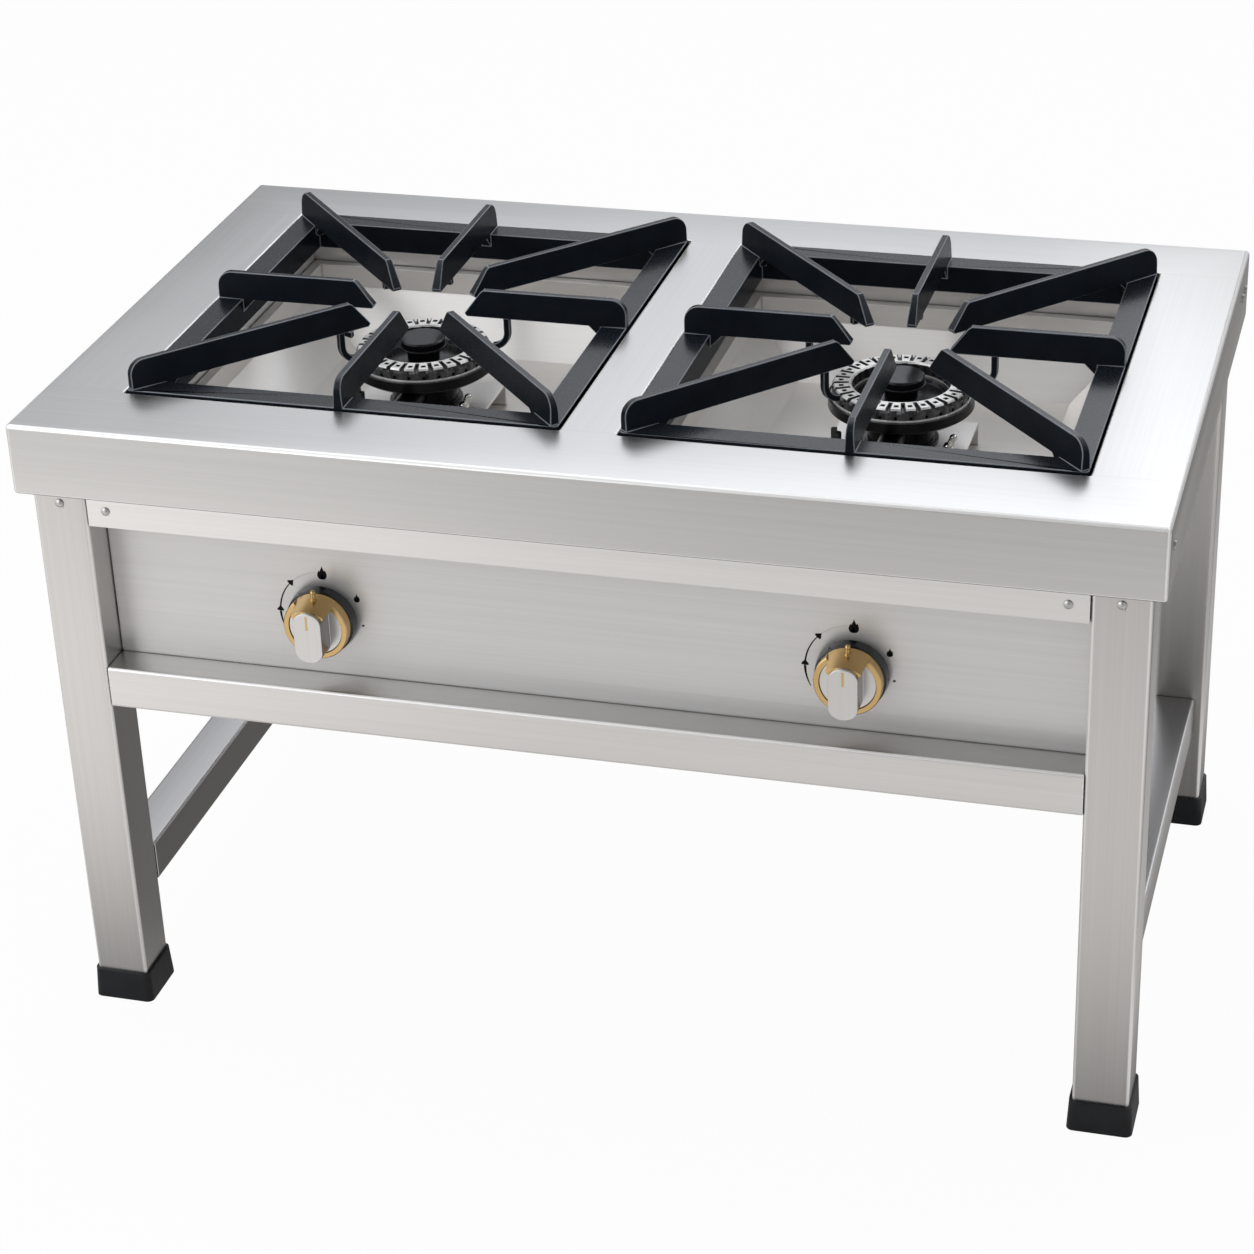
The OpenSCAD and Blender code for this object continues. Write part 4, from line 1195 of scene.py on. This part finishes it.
@dataclass
class Studio:
    """Pale floor, soft lamps, world light and the camera at the photograph's viewing angle.

    Each ramp holds two places and the levels at them. The floor_ ramps say how bright the floor looks to
    gloss, along Y and X in metres. The back_ and front_ ramps say the same of the sky behind and before
    the stove: the gloss and right ones along X, the rise and fall ones along Z, for a direction of length
    1. The strip is a bright stretch of floor at the right, from full to fading.
    """

    eye: Point = (0.720, -2.520, 1.713)
    azimuth: float = 16.72
    elevation: float = 28.32
    roll: float = -2.29
    lens: float = 90.26
    sensor: float = 36.0
    reach: float = 100.0
    lamps: tuple[Lamp, ...] = (
        Lamp("key", (-0.9, 0.3, 2.8), (0.0, 0.0, 0.5), (2.2, 2.2), 18.0),
        Lamp("rim", (0.7, 2.6, 1.7), (0.3, 0.0, 0.6), (1.2, 0.6), 1.5),
        Lamp("front", (-1.6, -1.8, 1.4), (0.0, 0.0, 0.4), (1.2, 1.2), 4.0),
    )
    floor_half: float = 12.0
    floor_paint: Colour = (0.86, 0.86, 0.86)
    floor_roughness: float = 0.9
    floor_white: float = 0.96
    floor_tint: tuple[float, float, float, float] = (1.0, 0.985, 0.97, 1.0)
    floor_gloss: Ramp = (-0.75, -0.1, 1.0, 0.2)
    floor_far: Ramp = (-1.75, -1.1, 0.6, 1.0)
    floor_side: Ramp = (-0.9, -0.1, 1.3, 0.95)
    floor_strip: Ramp = (0.50, 0.56, 0.66, 0.76)
    strip_level: float = 0.85
    back_gloss: Ramp = (-0.44, -0.20, 0.36, 0.89)
    back_rise: Ramp = (0.36, 0.47, 0.45, 2.5)
    back_fall: Ramp = (0.62, 0.85, 1.0, 0.45)
    front_gloss: Ramp = (-0.34, -0.2, 2.2, 0.1)
    front_right: Ramp = (-0.02, 0.26, 0.0, 0.72)
    front_fall: Ramp = (0.40, 0.75, 1.0, 0.55)
    turnover: Span = (-0.2, 0.3)
    sky_light: float = 0.6
    sky_tint: tuple[float, float, float, float] = (0.955, 0.98, 1.03, 1.0)

    def camera(self) -> None:
        """Creates the camera and makes it the scene's own."""
        az, el, roll = (math.radians(v) for v in (self.azimuth, self.elevation, self.roll))
        ahead = Vector((-math.sin(az) * math.cos(el), math.cos(az) * math.cos(el), -math.sin(el)))
        right = ahead.cross(Vector((0, 0, 1))).normalized()
        up = right.cross(ahead)
        x_axis = right * math.cos(roll) + up * math.sin(roll)
        y_axis = up * math.cos(roll) - right * math.sin(roll)
        data = bpy.data.cameras.new("camera")
        data.sensor_width = self.sensor
        data.lens = self.lens
        data.clip_end = self.reach
        camera = bpy.data.objects.new("camera", data)
        turn = Matrix((x_axis, y_axis, -ahead)).transposed().to_4x4()
        camera.matrix_world = Matrix.Translation(Vector(self.eye)) @ turn
        bpy.context.scene.collection.objects.link(camera)
        bpy.context.scene.camera = camera

    def floor_level(self, g: Graph) -> Socket:
        """Works out how bright each spot of the floor looks to gloss.

        Args:
            g: The floor material's graph.

        Returns:
            The level.
        """
        x, y = g.place()[:2]
        level = g.math("MULTIPLY", g.remap(y, *self.floor_gloss, smooth=True),
                       g.remap(y, *self.floor_far, smooth=True))
        level = g.math("MULTIPLY", level, g.remap(x, *self.floor_side, smooth=True))
        near, full, fading, gone = self.floor_strip
        strip = g.math("MULTIPLY", g.remap(x, near, full, smooth=True),
                       g.remap(x, fading, gone, self.strip_level, 0.0, smooth=True))
        return g.math("MAXIMUM", level, strip)

    def floor_paper(self) -> bpy.types.Material:
        """Makes the floor's material: matt, but white to the camera, and graded to gloss.

        Returns:
            The material.
        """
        material = bpy.data.materials.new("floor_paper")
        material.use_nodes = True
        g = Graph(material.node_tree)
        shader = next(n for n in material.node_tree.nodes if n.type == "BSDF_PRINCIPLED")
        shader.inputs["Base Color"].default_value = shade(self.floor_paint)
        shader.inputs["Roughness"].default_value = self.floor_roughness
        path = g.add("ShaderNodeLightPath").outputs
        tint = g.mix(path["Is Camera Ray"], self.floor_tint, WHITE)
        mirrored = g.math("MAXIMUM", path["Is Glossy Ray"], path["Is Transmission Ray"])
        shown = g.math("MULTIPLY", path["Is Camera Ray"], self.floor_white)
        level = g.math("SUBTRACT", self.floor_level(g), 1.0)
        level = g.math("MULTIPLY_ADD", mirrored, level, 1.0)
        glow = g.add("ShaderNodeEmission", {"Color": tint, "Strength": level})
        mixed = g.add("ShaderNodeMixShader", {0: g.math("MAXIMUM", shown, mirrored),
                                              1: shader.outputs[0], 2: glow.outputs[0]})
        output = next(n for n in material.node_tree.nodes if n.type == "OUTPUT_MATERIAL")
        g.fill(output, Surface=mixed.outputs[0])
        return material

    def floor(self) -> None:
        """Lays the pale floor, white to the camera, with the object's shadow kept."""
        mesh = bpy.data.meshes.new("floor")
        bm = bmesh.new()
        bmesh.ops.create_grid(bm, x_segments=1, y_segments=1, size=self.floor_half)
        bm.to_mesh(mesh)
        bm.free()
        floor = bpy.data.objects.new("floor", mesh)
        bpy.context.scene.collection.objects.link(floor)
        mesh.materials.append(self.floor_paper())

    def world(self) -> None:
        """Sets the world: white to the camera, graded to gloss, softer as a light."""
        world = bpy.data.worlds.new("studio")
        bpy.context.scene.world = world
        world.use_nodes = True
        g = Graph(world.node_tree)
        ground = next(n for n in world.node_tree.nodes if n.type == "BACKGROUND")
        path = g.add("ShaderNodeLightPath").outputs
        way = g.add("ShaderNodeTexCoord").outputs["Generated"]
        x, y, z = g.add("ShaderNodeSeparateXYZ", {0: way}).outputs
        back = g.math("MULTIPLY", g.remap(x, *self.back_gloss, smooth=True),
                      g.remap(z, *self.back_rise, smooth=True))
        back = g.math("MULTIPLY", back, g.remap(z, *self.back_fall, smooth=True))
        front = g.math("MAXIMUM", g.remap(x, *self.front_gloss, smooth=True),
                       g.remap(x, *self.front_right, smooth=True))
        front = g.math("MULTIPLY", front, g.remap(z, *self.front_fall, smooth=True))
        behind = g.remap(y, *self.turnover, smooth=True)
        gloss = g.math("MULTIPLY_ADD", g.math("SUBTRACT", back, front), behind, front)
        extra = g.math("SUBTRACT", gloss, self.sky_light)
        light = g.math("MULTIPLY_ADD", path["Is Glossy Ray"], extra, self.sky_light)
        seen = g.math("MAXIMUM", path["Is Camera Ray"], path["Is Transmission Ray"])
        g.fill(ground, Color=g.mix(path["Is Glossy Ray"], WHITE, self.sky_tint),
               Strength=g.math("MAXIMUM", seen, light))

    def build(self) -> None:
        """Sets up the floor, the lamps, the world and the camera."""
        self.floor()
        for lamp in self.lamps:
            lamp.hang()
        self.world()
        self.camera()
        bpy.context.scene.view_settings.view_transform = "Standard"


def main() -> None:
    """Builds the scene in order."""
    logging.basicConfig(level=logging.INFO, format="%(message)s")
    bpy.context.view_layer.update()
    Studio().build()
    dresser = CadDresser(Finishes())
    dresser.dress_all()
    Body(dresser).build()
    for side in SIDES:
        Station(side, dresser).build()


if __name__ == "__main__":
    main()
